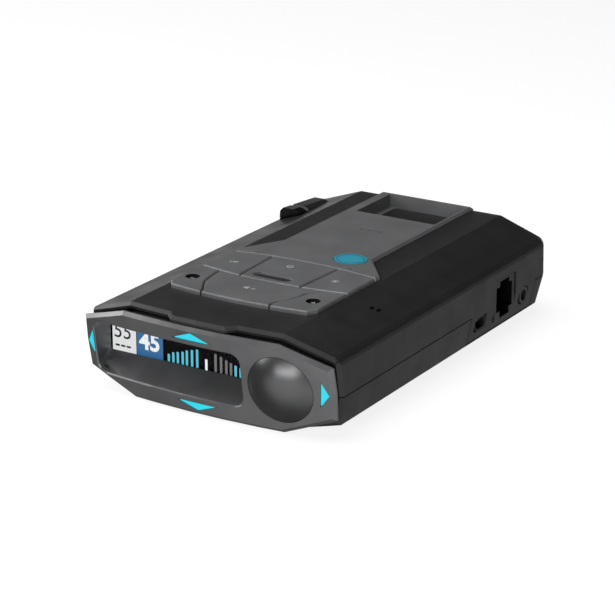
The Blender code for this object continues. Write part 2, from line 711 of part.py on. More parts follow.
def build_front_bezel():
    face = mirrored(FACE_HALF)
    rim = outset(face, FACE_CHAMFER)
    bezel = loft("front_bezel", [
        along_y(face, 0.0),
        along_y(rim, FACE_CHAMFER),
        along_y(rim, FACE_RIM_Y),
    ])
    neck = mirrored(NECK_HALF)
    join(bezel, prism("neck", neck, "y", FACE_CHAMFER, NECK_END_Y))
    cut(bezel, prism("neck_room", outset(neck, -NECK_WALL), "y", FACE_THICKNESS, NECK_END_Y + REACH))
    join(bezel, tunnel_body())
    cut(bezel, tunnel_room())
    dome_hole = circle(DOME_X, DOME_Z, DOME_RADIUS + GAP / 2, 40)
    cut(bezel, prism("dome_room", dome_hole, "y", -REACH, FACE_THICKNESS + REACH))
    for outline in ARROWS.values():
        cut(bezel, prism("arrow_room", outset(outline, ARROW_GAP), "y", -REACH, ARROW_DEPTH + ARROW_GAP))
    return bow_front(bezel)


def build_arrows():
    for name, outline in ARROWS.items():
        bow_front(prism(name, outline, "y", 0.0, ARROW_DEPTH))


def build_sensor_dome():
    """Shallow spherical cap with a short skirt that fills the round hole in the face."""
    sphere = (DOME_RADIUS ** 2 + DOME_RISE ** 2) / (2 * DOME_RISE)
    rings = [along_y(circle(DOME_X, DOME_Z, DOME_RADIUS, 40), FACE_THICKNESS - 0.4)]
    for step in range(DOME_STEPS):
        radius = DOME_RADIUS * math.cos(0.5 * math.pi * step / DOME_STEPS)
        rise = math.sqrt(sphere ** 2 - radius ** 2) - (sphere - DOME_RISE)
        rings.append(along_y(circle(DOME_X, DOME_Z, radius, 40), -rise))
    return bow_front(loft("sensor_dome", list(reversed(rings))))


def build_display():
    """Clear pane at the tunnel's end, the display module behind it, and its board."""
    x0, x1, z0, z1 = TUNNEL_BACK
    pane_y = TUNNEL_DEPTH + GAP
    module_y = pane_y + PANE_THICKNESS + GAP
    board_y = module_y + MODULE_THICKNESS + GAP
    box("display_window", x0 - 0.8, x1 + 0.8, pane_y, pane_y + PANE_THICKNESS, z0 - 0.8, z1 + 0.8)
    box("display_module", x0 - 0.4, x1 + 0.4, module_y, module_y + MODULE_THICKNESS, z0 - 0.4, z1 + 0.4)
    x0, x1, z0, z1 = DISPLAY_BOARD
    box("display_board", x0, x1, board_y, board_y + DISPLAY_BOARD_THICKNESS, z0, z1)


# ---------------------------------------------------------------- key deck

def line_y(line, x, shift=0.0):
    """The y of one of the deck's bowed lines at this x."""
    middle_y, rise = line
    return middle_y + rise * (x / DECK_HALF_WIDTH) ** 2 + shift


def along(line, start, end, steps, shift=0.0):
    """Points of a bowed line from one x to another, moved along y by a shift."""
    xs = [start + (end - start) * step / steps for step in range(steps + 1)]
    return [(x, line_y(line, x, shift)) for x in xs]


def deck_back():
    """The deck's knees and its far end, from the front of the right knee to the front of the left one."""
    right_x = RIGHT_KNEE[1][0]
    left_x = LEFT_KNEE[1][0]
    far_y = CASE_BACK_Y - GAP
    return [*RIGHT_KNEE, (right_x, far_y), (left_x, far_y), *reversed(LEFT_KNEE)]


def deck_corner():
    """The deck's cut right front corner."""
    return [(DECK_CORNER_X, line_y(FRONT_LINE, DECK_CORNER_X)), (DECK_HALF_WIDTH, DECK_CORNER_Y)]


def deck_outline():
    """The whole deck from above: wide key field, knees, narrow part to the far end."""
    inner_x = DECK_CORNER_X - 0.4
    return along(FRONT_LINE, -inner_x, inner_x, 8) + deck_corner() + deck_back() + flipped(deck_corner())


def rear_deck_outline():
    """The deck behind the keys."""
    return along(REAR_LINE, -DECK_HALF_WIDTH, DECK_HALF_WIDTH, 6, HALF_KEY_SPLIT) + deck_back()


def wing_split(split, shift):
    """S-shaped line between the mute key and a wing on the right, from front to back."""
    front_x, between, back_x = split
    front = (front_x, line_y(FRONT_LINE, front_x))
    back = (back_x, line_y(MIDDLE_LINE, back_x, -HALF_KEY_SPLIT))
    return [(x + shift, y) for x, y in [front, *between, back]]


def mute_outline():
    """The key between the two wings."""
    front = along(FRONT_LINE, 1.0 - LEFT_SPLIT[0], RIGHT_SPLIT[0] - 1.0, 4)
    back = along(MIDDLE_LINE, RIGHT_SPLIT[-1], -LEFT_SPLIT[-1], 6, -HALF_KEY_SPLIT)
    right = wing_split(RIGHT_SPLIT, -HALF_KEY_SPLIT)
    left = flipped(wing_split(LEFT_SPLIT, -HALF_KEY_SPLIT))
    return front + right + back[1:-1] + left


def wing_outline(split):
    """A wing on the right: the S-shaped split, the front edge and the deck's corner."""
    front = along(FRONT_LINE, split[0] + 1.4, DECK_CORNER_X - 0.4, 3)
    back = along(MIDDLE_LINE, DECK_HALF_WIDTH, 21.0, 1, -HALF_KEY_SPLIT)
    return list(reversed(wing_split(split, HALF_KEY_SPLIT))) + front + deck_corner() + back


def power_outline():
    front = along(MIDDLE_LINE, -POWER_FRONT_HALF, POWER_FRONT_HALF, 4, HALF_KEY_SPLIT)
    back = along(REAR_LINE, POWER_BACK_HALF, -POWER_BACK_HALF, 4, -HALF_KEY_SPLIT)
    return front + back


def side_key_outline():
    """The key right of the power key."""
    front = along(MIDDLE_LINE, POWER_FRONT_HALF + KEY_SPLIT, DECK_HALF_WIDTH, 3, HALF_KEY_SPLIT)
    back = along(REAR_LINE, DECK_HALF_WIDTH, POWER_BACK_HALF + KEY_SPLIT, 3, -HALF_KEY_SPLIT)
    return front + back


def key(name, outline):
    """A key cap with softened top edges and a stem that reaches down to its switch."""
    cap = bevel_top(prism(name, outline, "z", KEY_BOTTOM_Z, KEY_TOP_Z), KEY_TOP_Z, KEY_EDGE)
    x, y = KEY_STEMS[name]
    return join(cap, prism("stem", circle(x, y, STEM_RADIUS, 12), "z", STEM_BOTTOM_Z, KEY_BOTTOM_Z + 0.5))


def finger_dish(x, y):
    """Room of a small round dish with sloping sides."""
    slope = (DISH_RADIUS - DISH_FLOOR_RADIUS) / DISH_DEPTH
    profile = ((DISH_FLOOR_RADIUS, -DISH_DEPTH), (DISH_RADIUS + slope, 1.0))
    return loft("dish", [[(a, b, KEY_TOP_Z + height) for a, b in circle(x, y, radius, 20)]
                         for radius, height in profile])


def build_keys():
    key("sensitivity_button", flipped(side_key_outline()))
    key("brightness_button", side_key_outline())
    power = key("power_button", power_outline())
    cut(power, prism("finger_slot", FINGER_SLOT, "z", KEY_TOP_Z - FINGER_SLOT_DEPTH, KEY_TOP_Z + REACH))
    key("mute_button", mute_outline())
    left_wing = key("volume_down_button", flipped(wing_outline(LEFT_SPLIT)))
    right_wing = key("volume_up_button", wing_outline(RIGHT_SPLIT))
    cut(left_wing, finger_dish(*LEFT_DISH))
    cut(right_wing, finger_dish(*RIGHT_DISH))


def build_button_plate():
    """Floor under the keys, raised rear deck with a bevelled rim, and the dock tub."""
    plate = prism("button_plate", rear_deck_outline(), "z", DECK_BASE_Z + 0.2, DECK_TOP_Z)
    bevel_top(plate, DECK_TOP_Z, DECK_RIM)
    join(plate, prism("key_floor", outset(deck_outline(), -0.4), "z", DECK_BASE_Z, KEY_FLOOR_Z))
    join(plate, box("tub", LEFT_KNEE[1][0] + TUB_INSET, RIGHT_KNEE[1][0] - TUB_INSET,
                    DOCK_FRONT_Y - DOCK_WALL, CASE_BACK_Y - 0.4, DOCK_UNDERSIDE_Z, DECK_TOP_Z - 1.2))
    cut(plate, box("dock", -DOCK_HALF_WIDTH, DOCK_HALF_WIDTH, DOCK_FRONT_Y, DOCK_BACK_Y,
                   DOCK_FLOOR_Z, OUTSIDE))
    for x, y in KEY_STEMS.values():
        cut(plate, prism("stem_hole", circle(x, y, STEM_RADIUS + GAP, 16), "z", BOARD_Z, KEY_FLOOR_Z + 0.4))
    badge_hole = oval(BADGE_X, BADGE_Y, BADGE_HALF_WIDTH + GAP / 2, BADGE_HALF_DEPTH + GAP / 2)
    return cut(plate, prism("badge_room", badge_hole, "z", DECK_TOP_Z - BADGE_SINK - GAP, OUTSIDE))


def build_badge():
    outline = oval(BADGE_X, BADGE_Y, BADGE_HALF_WIDTH, BADGE_HALF_DEPTH)
    prism("badge", outline, "z", DECK_TOP_Z - BADGE_SINK, DECK_TOP_Z + BADGE_RISE)


def build_dock_plate():
    outline = rounded_box(-DOCK_PLATE_HALF_WIDTH, DOCK_PLATE_HALF_WIDTH, DOCK_FRONT_Y + DOCK_PLATE_MARGIN,
                          DOCK_BACK_Y - DOCK_PLATE_MARGIN, 1.2, 3)
    bottom_z = DOCK_FLOOR_Z + GAP
    top_z = bottom_z + DOCK_PLATE_THICKNESS
    bevel_top(prism("dock_plate", outline, "z", bottom_z, top_z), top_z, 0.2)


# ---------------------------------------------------------------- release slider

def build_release():
    slider = slider_block("release_slider", GAP, SLIDER_FRONT_Y, SLIDER_BACK_Y)
    join(slider, box("tongue", SPRING_X - TONGUE_HALF_WIDTH, SPRING_X + TONGUE_HALF_WIDTH, *TONGUE_Y,
                     TONGUE_BOTTOM_Z, SLIDER_TOP_Z - 1.8))
    build_spring("release_spring", *SPRING_Y)


def build_spring(name, start, end):
    """Coil spring along y, a closed tube of round wire."""
    steps = SPRING_TURNS * 10
    length = end - start - 2 * SPRING_WIRE_RADIUS
    rings = []
    for step in range(steps + 1):
        angle = 2.0 * math.pi * SPRING_TURNS * step / steps
        y = start + SPRING_WIRE_RADIUS + length * step / steps
        wire = circle(SPRING_COIL_RADIUS, y, SPRING_WIRE_RADIUS, 6)
        rings.append([(SPRING_X + radius * math.cos(angle), level, SPRING_Z + radius * math.sin(angle))
                      for radius, level in wire])
    loft(name, rings)


# ---------------------------------------------------------------- sockets

def build_modular_jack():
    """Power socket with a cross-shaped mouth and a flush square face."""
    outline = rounded_box(MODULAR_Y - MODULAR_HALF_WIDTH, MODULAR_Y + MODULAR_HALF_WIDTH,
                          MODULAR_Z - MODULAR_HALF_HEIGHT, MODULAR_Z + MODULAR_HALF_HEIGHT, 0.3, 1)
    jack = prism("modular_jack", outline, "x", MODULAR_FACE_X - 15.1, MODULAR_FACE_X)
    bottom_x = MODULAR_FACE_X - 12.1
    outside = MODULAR_FACE_X + REACH
    cut(jack, box("tall_mouth", bottom_x, outside, MODULAR_Y - 3.2, MODULAR_Y + 3.2,
                  MODULAR_Z - 5.9, MODULAR_Z + 5.9))
    cut(jack, box("wide_mouth", bottom_x, outside, MODULAR_Y - 5.5, MODULAR_Y + 5.2,
                  MODULAR_Z - 3.7, MODULAR_Z + 4.2))


def usb_outline(grow):
    """Front view of the small USB shell, with its two lower corners cut off."""
    half = USB_HALF_WIDTH + grow
    low_z = USB_Z - USB_HALF_HEIGHT - grow
    high_z = USB_Z + USB_HALF_HEIGHT + grow
    right = [(half - 0.9, low_z), (half, USB_Z - 0.6), (half, high_z)]
    return [(USB_Y + across, z) for across, z in mirrored(right)]


def build_usb_port():
    """Metal shell with a tapered mouth and a tongue fixed to its back wall."""
    port = prism("usb_port", usb_outline(0.0), "x", 33.5, 41.8)
    cut(port, prism("usb_mouth", usb_outline(-0.4), "x", 35.0, HALF_SPLIT + REACH))
    join(port, box("usb_tongue", 34.5, 40.6, USB_Y - 2.0, USB_Y + 2.0, USB_Z + 0.1, USB_Z + 0.9))


def build_audio_jack():
    body = box("audio_jack", 28.5, 38.9, AUDIO_Y - 3.3, AUDIO_Y + 3.3, AUDIO_Z - 3.0, AUDIO_Z + 3.0)
    join(body, prism("audio_ring", circle(AUDIO_Y, AUDIO_Z, AUDIO_RING_RADIUS), "x", 38.2, 42.2))
    cut(body, prism("audio_bore", circle(AUDIO_Y, AUDIO_Z, AUDIO_BORE_RADIUS), "x", 29.5, HALF_SPLIT + REACH))


# ---------------------------------------------------------------- inside

def build_boards():
    """Main board with its shield, antenna, microphone and one switch under each key."""
    stand_z = BOARD_TOP_Z + GAP
    box("main_board", -BOARD_HALF_WIDTH, BOARD_HALF_WIDTH, BOARD_FRONT_Y, BOARD_BACK_Y, BOARD_Z, BOARD_TOP_Z)
    bevel_top(box("processor_shield", *SHIELD_BOX, stand_z, SHIELD_TOP_Z), SHIELD_TOP_Z, 0.4)
    antenna = box("gps_antenna", *ANTENNA_BOX, stand_z, ANTENNA_TOP_Z)
    bevel_edges(antenna, lambda a, b: abs(a.z - b.z) > 1.0, 1.0)
    prism("microphone", circle(*MICROPHONE, 20), "z", stand_z, MICROPHONE_TOP_Z)
    for name, (x, y) in KEY_STEMS.items():
        half = SWITCH_HALF_WIDTH
        switch_name = name.replace("_button", "_switch")
        switch = box(switch_name, x - half, x + half, y - half, y + half, stand_z, SWITCH_TOP_Z)
        plunger = circle(x, y, PLUNGER_RADIUS, 14)
        join(switch, prism("plunger", plunger, "z", SWITCH_TOP_Z - 0.5, PLUNGER_TOP_Z))


def build_horn(name, outer_box, mouth_y, throat_y):
    """Cast box with a flared rectangular horn that opens at mouth_y."""
    x0, x1, _, _, z0, z1 = outer_box
    body = box(name, *outer_box)
    middle_x = (x0 + x1) / 2
    middle_z = (z0 + z1) / 2
    throat_half_width, throat_half_height = HORN_THROAT_HALF
    wide = rounded_box(x0 + HORN_RIM, x1 - HORN_RIM, z0 + HORN_RIM, z1 - HORN_RIM, 0.5, 1)
    narrow = rounded_box(middle_x - throat_half_width, middle_x + throat_half_width,
                         middle_z - throat_half_height, middle_z + throat_half_height, 0.5, 1)
    outwards = math.copysign(1.0, mouth_y - throat_y)
    flare = loft("flare", [
        along_y(wide, mouth_y + outwards * REACH),
        along_y(wide, mouth_y),
        along_y(narrow, throat_y + outwards * HORN_THROAT_DEPTH),
    ])
    return cut(body, flare)


def build_receiver():
    """Two horns, one towards the road and one towards the driver, and the receiver between them."""
    build_horn("front_horn", FRONT_HORN, mouth_y=FRONT_HORN[3], throat_y=FRONT_HORN[2])
    build_horn("rear_horn", REAR_HORN, mouth_y=REAR_HORN[2], throat_y=REAR_HORN[3])
    bevel_top(box("rf_module", *RF_MODULE), RF_MODULE[5], 0.8)


def build_far_end():
    """Dark window in the far wall, its laser lens, and the two laser sensors."""
    window_y = CASE_BACK_Y - 0.2 - WINDOW_THICKNESS
    outline = rounded_box(-WINDOW_HALF_WIDTH, WINDOW_HALF_WIDTH, *WINDOW_Z, 1.2, 3)
    window = prism("front_window", outline, "y", window_y, window_y + WINDOW_THICKNESS)
    lens_hole = circle(LENS_X, LENS_Z, LENS_RADIUS + GAP, 28)
    cut(window, prism("lens_room", lens_hole, "y", window_y - REACH, CASE_BACK_Y + REACH))
    rings = [along_y(circle(LENS_X, LENS_Z, LENS_RADIUS, 28), CASE_BACK_Y - 3.0)]
    for step in range(LENS_STEPS):
        angle = 0.5 * math.pi * step / LENS_STEPS
        ring = circle(LENS_X, LENS_Z, LENS_RADIUS * math.cos(angle), 28)
        rings.append(along_y(ring, CASE_BACK_Y - 1.2 * (1.0 - math.sin(angle))))
    loft("front_lens", rings)
    front_end_y = FRONT_LASER_BOX[3]
    rear_end_y = REAR_LASER_BOX[2]
    front_sensor = box("front_laser_sensor", *FRONT_LASER_BOX)
    bevel_edges(front_sensor, lambda a, b: min(a.y, b.y) > front_end_y - 0.1, SENSOR_EDGE)
    rear_sensor = box("rear_laser_sensor", *REAR_LASER_BOX)
    bevel_edges(rear_sensor, lambda a, b: max(a.y, b.y) < rear_end_y + 0.1, SENSOR_EDGE)


def build_speaker():
    """Round speaker over the grille: a flat basket with a smaller magnet on top."""
    rings = []
    for radius, z in SPEAKER_PROFILE:
        rings.append([(x, y, z) for x, y in circle(SPEAKER_X, SPEAKER_Y, radius, 32)])
    loft("speaker", rings)


def build_display_cable():
    """Flat cable that drops behind the display board and runs under the main board."""
    upper = [(y, z + CABLE_THICKNESS) for y, z in reversed(CABLE_PATH)]
    prism("display_cable", CABLE_PATH + upper, "x", *CABLE_X)


def build_screws():
    head_z, shoulder = SCREW_HEAD_Z
    for index, (x, y) in enumerate(SCREWS, 1):
        screw = prism(f"case_screw_{index}", circle(x, y, SCREW_HEAD_RADIUS, 18), "z", head_z, shoulder)
        join(screw, prism("shank", circle(x, y, SCREW_SHANK_RADIUS, 12), "z", shoulder - GAP, SCREW_TOP_Z))
        cut(screw, prism("socket", circle(x, y, SCREW_SOCKET_RADIUS, 6), "z", -1.0, head_z + 0.8))


# ---------------------------------------------------------------- materials and finish

def make_material(name, colour, roughness, metallic):
    material = bpy.data.materials.new(name)
    material.use_nodes = True
    shader = material.node_tree.nodes["Principled BSDF"]
    shader.inputs["Base Color"].default_value = (*colour[:3], 1.0)
    shader.inputs["Alpha"].default_value = colour[3]
    shader.inputs["Roughness"].default_value = roughness
    shader.inputs["Metallic"].default_value = metallic
    return material


def paint_pieces():
    """Give each piece its own material in its finish's colour."""
    finish_of = {node: finish for finish, nodes in PIECES_IN_FINISH.items() for node in nodes}
    for piece in bpy.data.objects:
        colour, roughness, metallic = FINISHES[finish_of.get(piece.name, "black_shell")]
        piece.data.materials.clear()
        piece.data.materials.append(make_material(piece.name, colour, roughness, metallic))


def clean(piece):
    """Triangulate, drop slivers and merge points that coincide."""
    shape = bmesh.new()
    shape.from_mesh(piece.data)
    bmesh.ops.remove_doubles(shape, verts=shape.verts, dist=MERGE_DISTANCE)
    bmesh.ops.dissolve_degenerate(shape, edges=shape.edges, dist=MERGE_DISTANCE)
    bmesh.ops.triangulate(shape, faces=shape.faces)
    bmesh.ops.recalc_face_normals(shape, faces=shape.faces)
    shape.to_mesh(piece.data)
    shape.free()
    piece.data.shade_smooth()
    piece.data.set_sharp_from_angle(angle=math.radians(SHARP_ANGLE))


def bounds(points):
    low = Vector([min(point[axis] for point in points) for axis in range(3)])
    high = Vector([max(point[axis] for point in points) for axis in range(3)])
    return low, high


def finish_model():
    """Scale to metres, stand the model on its underside, and give each piece its own origin."""
    pieces = list(bpy.data.objects)
    for piece in pieces:
        clean(piece)
    low, high = bounds([vertex.co for piece in pieces for vertex in piece.data.vertices])
    base = Vector(((low.x + high.x) / 2, (low.y + high.y) / 2, low.z))
    for piece in pieces:
        piece_low, piece_high = bounds([vertex.co for vertex in piece.data.vertices])
        middle = (piece_low + piece_high) / 2
        piece.data.transform(Matrix.Scale(METRES_PER_MM, 4) @ Matrix.Translation(-middle))
        piece.location = (middle - base) * METRES_PER_MM


def main():
    for old in list(bpy.data.objects):
        bpy.data.objects.remove(old)
    build_top_cover()
    build_bottom_cover()
    build_front_bezel()
    build_arrows()
    build_sensor_dome()
    build_display()
    build_keys()
    build_button_plate()
    build_badge()
    build_dock_plate()
    build_release()
    build_modular_jack()
    build_usb_port()
    build_audio_jack()
    build_boards()
    build_receiver()
    build_far_end()
    build_speaker()
    build_display_cable()
    build_screws()
    paint_pieces()
    finish_model()


main()
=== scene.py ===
"""Looks of the radar detector: materials, display graphics, key marks, fittings, studio and camera.

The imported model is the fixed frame. Lengths below are millimetres of the design's own drawing, whose y = 0 is
at the middle of the face and z = 0 at the underside; place() turns them into the frame's metres.
"""

import json
import math

import bmesh
import bpy
from mathutils import Matrix, Vector


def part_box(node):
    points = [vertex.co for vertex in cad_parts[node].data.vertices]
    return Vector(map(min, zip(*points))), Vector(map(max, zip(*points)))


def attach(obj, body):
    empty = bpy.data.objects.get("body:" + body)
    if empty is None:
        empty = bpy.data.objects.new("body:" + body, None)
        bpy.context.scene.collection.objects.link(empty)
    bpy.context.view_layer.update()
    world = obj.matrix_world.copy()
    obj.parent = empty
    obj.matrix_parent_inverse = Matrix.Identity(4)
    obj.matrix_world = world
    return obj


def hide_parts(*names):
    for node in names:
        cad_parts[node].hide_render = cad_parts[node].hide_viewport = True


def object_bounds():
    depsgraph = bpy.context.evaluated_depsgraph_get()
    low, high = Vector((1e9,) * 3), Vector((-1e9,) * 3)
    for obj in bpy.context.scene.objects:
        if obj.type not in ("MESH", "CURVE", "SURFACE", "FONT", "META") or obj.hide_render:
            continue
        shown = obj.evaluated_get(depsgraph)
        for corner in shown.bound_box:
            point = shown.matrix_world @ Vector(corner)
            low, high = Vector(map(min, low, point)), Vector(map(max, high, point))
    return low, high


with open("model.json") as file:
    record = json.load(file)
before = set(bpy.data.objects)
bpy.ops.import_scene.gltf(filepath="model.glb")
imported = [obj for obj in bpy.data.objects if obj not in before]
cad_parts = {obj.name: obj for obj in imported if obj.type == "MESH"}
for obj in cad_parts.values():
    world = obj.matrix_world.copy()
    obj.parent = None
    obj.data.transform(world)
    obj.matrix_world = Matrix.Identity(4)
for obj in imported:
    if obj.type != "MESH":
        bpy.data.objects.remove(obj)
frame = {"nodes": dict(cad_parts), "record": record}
CAD_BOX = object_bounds()

MM = 0.001
# Front plane of the display module in the drawing; its place in the frame gives the drawing's shift
MODULE_Y = 11.4
SHIFT_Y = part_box("display_module")[0].y / MM - MODULE_Y
MARK_HEIGHT = 0.04

# Hollows in the keys: how deep the finger slot and the two dishes are, and where the dishes lie
FINGER_SLOT_DEPTH = 0.5
DISH_DEPTH = 0.75
LEFT_DISH = (-21.5, 28.5)
RIGHT_DISH = (20.3, 28.4)
# Near-black sheet of painted shade in a dish, from its underside to its upper side: radius, and height from the
# key's top
DISH_SHADE_SHEET = [(0.0, -0.73), (1.36, -0.73), (2.13, -0.02), (2.05, -0.02), (1.30, -0.67), (0.0, -0.67)]

# Camera: turned and raised from the driver's side, at the reference view
AZIMUTH = math.radians(31.797)
ELEVATION = math.radians(19.559)
DISTANCE = 0.690
LENS = 133.4
AIM_FROM_MIDDLE = Vector((-0.4, -7.7, 0.5)) * MM

# Studio: half the floor's side in metres, and how bright the surroundings are for light and gloss
FLOOR_HALF = 4.0
FLOOR_DARK = 0.03
FLOOR_LIT = 1.2
FLOOR_RIGHT = 0.45
HORIZON_GLOW = 1.5
SKY_LEVEL = 0.04

# Display: where its parts stand on the module, x from and to, z from and to
SCREEN_TOP = 21.7
WHITE_TILE = (-38.6, -30.1, 10.2, SCREEN_TOP)
BLUE_TILE = (-29.8, -20.5, 10.2, SCREEN_TOP)
CYAN_BARS = [(-18.5, 12.6), (-16.9, 13.4), (-15.3, 13.8), (-13.6, 14.2), (-12.1, 14.9), (-10.3, 15.4),
             (-8.5, 15.9), (4.8, 13.6), (6.5, 13.2)]
GREY_BARS = [(-2.1, 15.8), (-0.2, 15.3), (1.6, 14.6), (3.2, 14.1)]
BAR_BOTTOM = 10.3
BAR_WIDTH = 0.8

# Domed cover: x and z of its middle, radius, rise, and how finely its skin is cut
DOME_MIDDLE = (26.1, 13.9)
DOME_RADIUS = 10.0
DOME_RISE = 3.37
DOME_RINGS = 24
DOME_SIDES = 96
DOME_SKIRT = 2.6

# The front end is bowed in plan and leans towards the driver above the face's middle height
FRONT_BOW = 0.00203
FRONT_LEAN = 0.15
FACE_MIDDLE_Z = 13.9

# Left shoulder: x and z of its upper edge and its slope, and the slope of the release slider along y
SHOULDER_TOP = (26.0, 29.7)
SHOULDER_SLOPE = 0.3374
SLIDER_TOP_SLOPE = 0.078

# Outer pieces whose edges are rounded, and the radius
EDGE_RADIUS = 0.14
SOFT_NODES = [
    "front_bezel", "top_cover", "bottom_cover", "button_plate", "release_slider", "modular_jack", "usb_port",
    "sensitivity_button", "power_button", "brightness_button", "mute_button", "volume_down_button",
    "volume_up_button", "arrow_up", "arrow_down", "arrow_left", "arrow_right",
]

# Power socket's mouth: a wide part and a tall part that cross, from its middle
WIDE_LEFT, WIDE_RIGHT = 5.5, 5.2
WIDE_DOWN, WIDE_UP = 3.7, 4.2
TALL_HALF_WIDTH, TALL_HALF_HEIGHT = 3.2, 5.9

KEY_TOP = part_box("power_button")[1].z / MM
DECK_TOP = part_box("badge")[1].z / MM - 0.1


# ---------------------------------------------------------------- materials

def new_material(name):
    material = bpy.data.materials.new(name)
    material.use_nodes = True
    return material, material.node_tree, material.node_tree.nodes["Principled BSDF"]


def node(tree, kind, **settings):
    made = tree.nodes.new(kind)
    for key, value in settings.items():
        setattr(made, key, value)
    return made


def noise(tree, size_mm, stretch=(1, 1, 1), detail=2.0):
    """Noise on the object's own coordinates, with cells of about this size."""
    coords = node(tree, "ShaderNodeTexCoord")
    mapping = node(tree, "ShaderNodeMapping")
    mapping.inputs["Scale"].default_value = [axis / (size_mm * MM) for axis in stretch]
    texture = node(tree, "ShaderNodeTexNoise")
    texture.inputs["Scale"].default_value = 1.0
    texture.inputs["Detail"].default_value = detail
    tree.links.new(coords.outputs["Object"], mapping.inputs["Vector"])
    tree.links.new(mapping.outputs["Vector"], texture.inputs["Vector"])
    return texture.outputs["Fac"]


def spread(tree, value, low, high):
    """A noise value turned into the range from low to high."""
    scale = node(tree, "ShaderNodeMapRange")
    scale.inputs["From Min"].default_value = 0.3
    scale.inputs["From Max"].default_value = 0.7
    scale.inputs["To Min"].default_value = low
    scale.inputs["To Max"].default_value = high
    tree.links.new(value, scale.inputs["Value"])
    return scale.outputs["Result"]


def tint(tree, value, first, second):
    """A colour between two others, led by a value."""
    mix = node(tree, "ShaderNodeMix", data_type="RGBA")
    mix.inputs[6].default_value = (*first, 1.0)
    mix.inputs[7].default_value = (*second, 1.0)
    tree.links.new(value, mix.inputs["Factor"])
    return mix.outputs[2]


def surface(name, colour, roughness, metallic=0.0, grain=0.25, depth=0.004, patch=14.0, vary=0.12,
            rough_vary=0.05, stretch=(1, 1, 1), **sockets):
    """Moulded, painted or metal surface: fine grain in its relief, broad patches in colour and gloss."""
    material, tree, shader = new_material(name)
    patches = spread(tree, noise(tree, patch), 0.0, 1.0)
    darker = [channel * (1.0 - vary) for channel in colour]
    lighter = [channel * (1.0 + vary) for channel in colour]
    tree.links.new(tint(tree, patches, darker, lighter), shader.inputs["Base Color"])
    gloss = spread(tree, noise(tree, patch * 0.6, stretch), roughness - rough_vary, roughness + rough_vary)
    tree.links.new(gloss, shader.inputs["Roughness"])
    bump = node(tree, "ShaderNodeBump")
    bump.inputs["Strength"].default_value = 1.0
    bump.inputs["Distance"].default_value = depth * MM
    tree.links.new(noise(tree, grain, stretch, 3.0), bump.inputs["Height"])
    tree.links.new(bump.outputs["Normal"], shader.inputs["Normal"])
    shader.inputs["Metallic"].default_value = metallic
    for key, value in sockets.items():
        shader.inputs[key.replace("_", " ")].default_value = value
    return material


def lit(name, colour, strength=1.0, cell=0.35, vary=0.06):
    """Lit surface with a faint pattern of cells in its brightness."""
    material, tree, shader = new_material(name)
    cells = spread(tree, noise(tree, cell), 0.0, 1.0)
    darker = [channel * (1.0 - vary) for channel in colour]
    lighter = [channel * (1.0 + vary) for channel in colour]
    tree.links.new(tint(tree, cells, darker, lighter), shader.inputs["Emission Color"])
    shader.inputs["Emission Strength"].default_value = strength
    shader.inputs["Base Color"].default_value = (0.01, 0.01, 0.01, 1.0)
    gloss = spread(tree, noise(tree, 3.0), 0.3, 0.4)
    tree.links.new(gloss, shader.inputs["Roughness"])
    return material


def clear(name, colour, roughness, opacity):
    """Clear moulded pane: nearly see-through, with a thin gloss of its own and faint waves in it."""
    material, tree, shader = new_material(name)
    gloss = spread(tree, noise(tree, 6.0), roughness, roughness + 0.03)
    tree.links.new(gloss, shader.inputs["Roughness"])
    shader.inputs["Base Color"].default_value = (*colour, 1.0)
    shader.inputs["Alpha"].default_value = opacity
    return material


MATERIALS = {
    "black_shell": surface("black_shell_look", (0.012, 0.012, 0.013), 0.46, grain=0.22, depth=0.004),
    "slider_black": surface("slider_black_look", (0.004, 0.004, 0.005), 0.30, grain=0.6, depth=0.001,
                            Specular_IOR_Level=0.15),
    "grey_face": surface("grey_face_look", (0.130, 0.131, 0.134), 0.36, metallic=0.60, grain=0.12,
                         depth=0.002),
    "grey_deck": surface("grey_deck_look", (0.158, 0.160, 0.164), 0.42, metallic=0.35, grain=0.12,
                         depth=0.002),
    "cyan_light": lit("cyan_light_look", (0.013, 0.690, 0.830)),
    "teal_badge": surface("teal_badge_look", (0.026, 0.275, 0.385), 0.34, grain=0.3, depth=0.001,
                          Specular_IOR_Level=0.3),
    "clear_pane": clear("clear_pane_look", (0.004, 0.004, 0.005), 0.06, 0.06),
    "display_screen": surface("display_screen_look", (0.002, 0.002, 0.003), 0.30, grain=0.4, depth=0.0005,
                              Specular_IOR_Level=0.05),
    "circuit_board": surface("circuit_board_look", (0.010, 0.090, 0.040), 0.42, grain=0.5, depth=0.01,
                             patch=4.0, vary=0.3),
    "black_nylon": surface("black_nylon_look", (0.015, 0.015, 0.016), 0.48, grain=0.18, depth=0.004),
    "plated_steel": surface("plated_steel_look", (0.42, 0.42, 0.43), 0.30, metallic=1.0, grain=0.3,
                            depth=0.003, stretch=(0.12, 1, 1)),
    "cast_zinc": surface("cast_zinc_look", (0.36, 0.36, 0.37), 0.48, metallic=1.0, grain=0.4, depth=0.02),
    "ceramic": surface("ceramic_look", (0.55, 0.45, 0.34), 0.55, grain=0.3, depth=0.006),
    "dark_window": surface("dark_window_look", (0.012, 0.003, 0.004), 0.08, grain=2.0, depth=0.001),
    "amber_film": surface("amber_film_look", (0.42, 0.18, 0.03), 0.35, grain=0.8, depth=0.004,
                          stretch=(4, 0.4, 1)),
}
WHITE_LIT = lit("white_tile_look", (0.80, 0.81, 0.82))
BLUE_LIT = lit("blue_tile_look", (0.026, 0.141, 0.328))
DIGIT_LIT = lit("digit_look", (0.93, 0.94, 0.95))
BAR_LIT = lit("cyan_bar_look", (0.110, 0.560, 0.730))
GREY_LIT = lit("grey_bar_look", (0.170, 0.170, 0.175))
INK = surface("ink_look", (0.020, 0.020, 0.022), 0.5, grain=0.2, depth=0.001)
PRINT = surface("print_look", (0.42, 0.43, 0.44), 0.45, grain=0.1, depth=0.001)
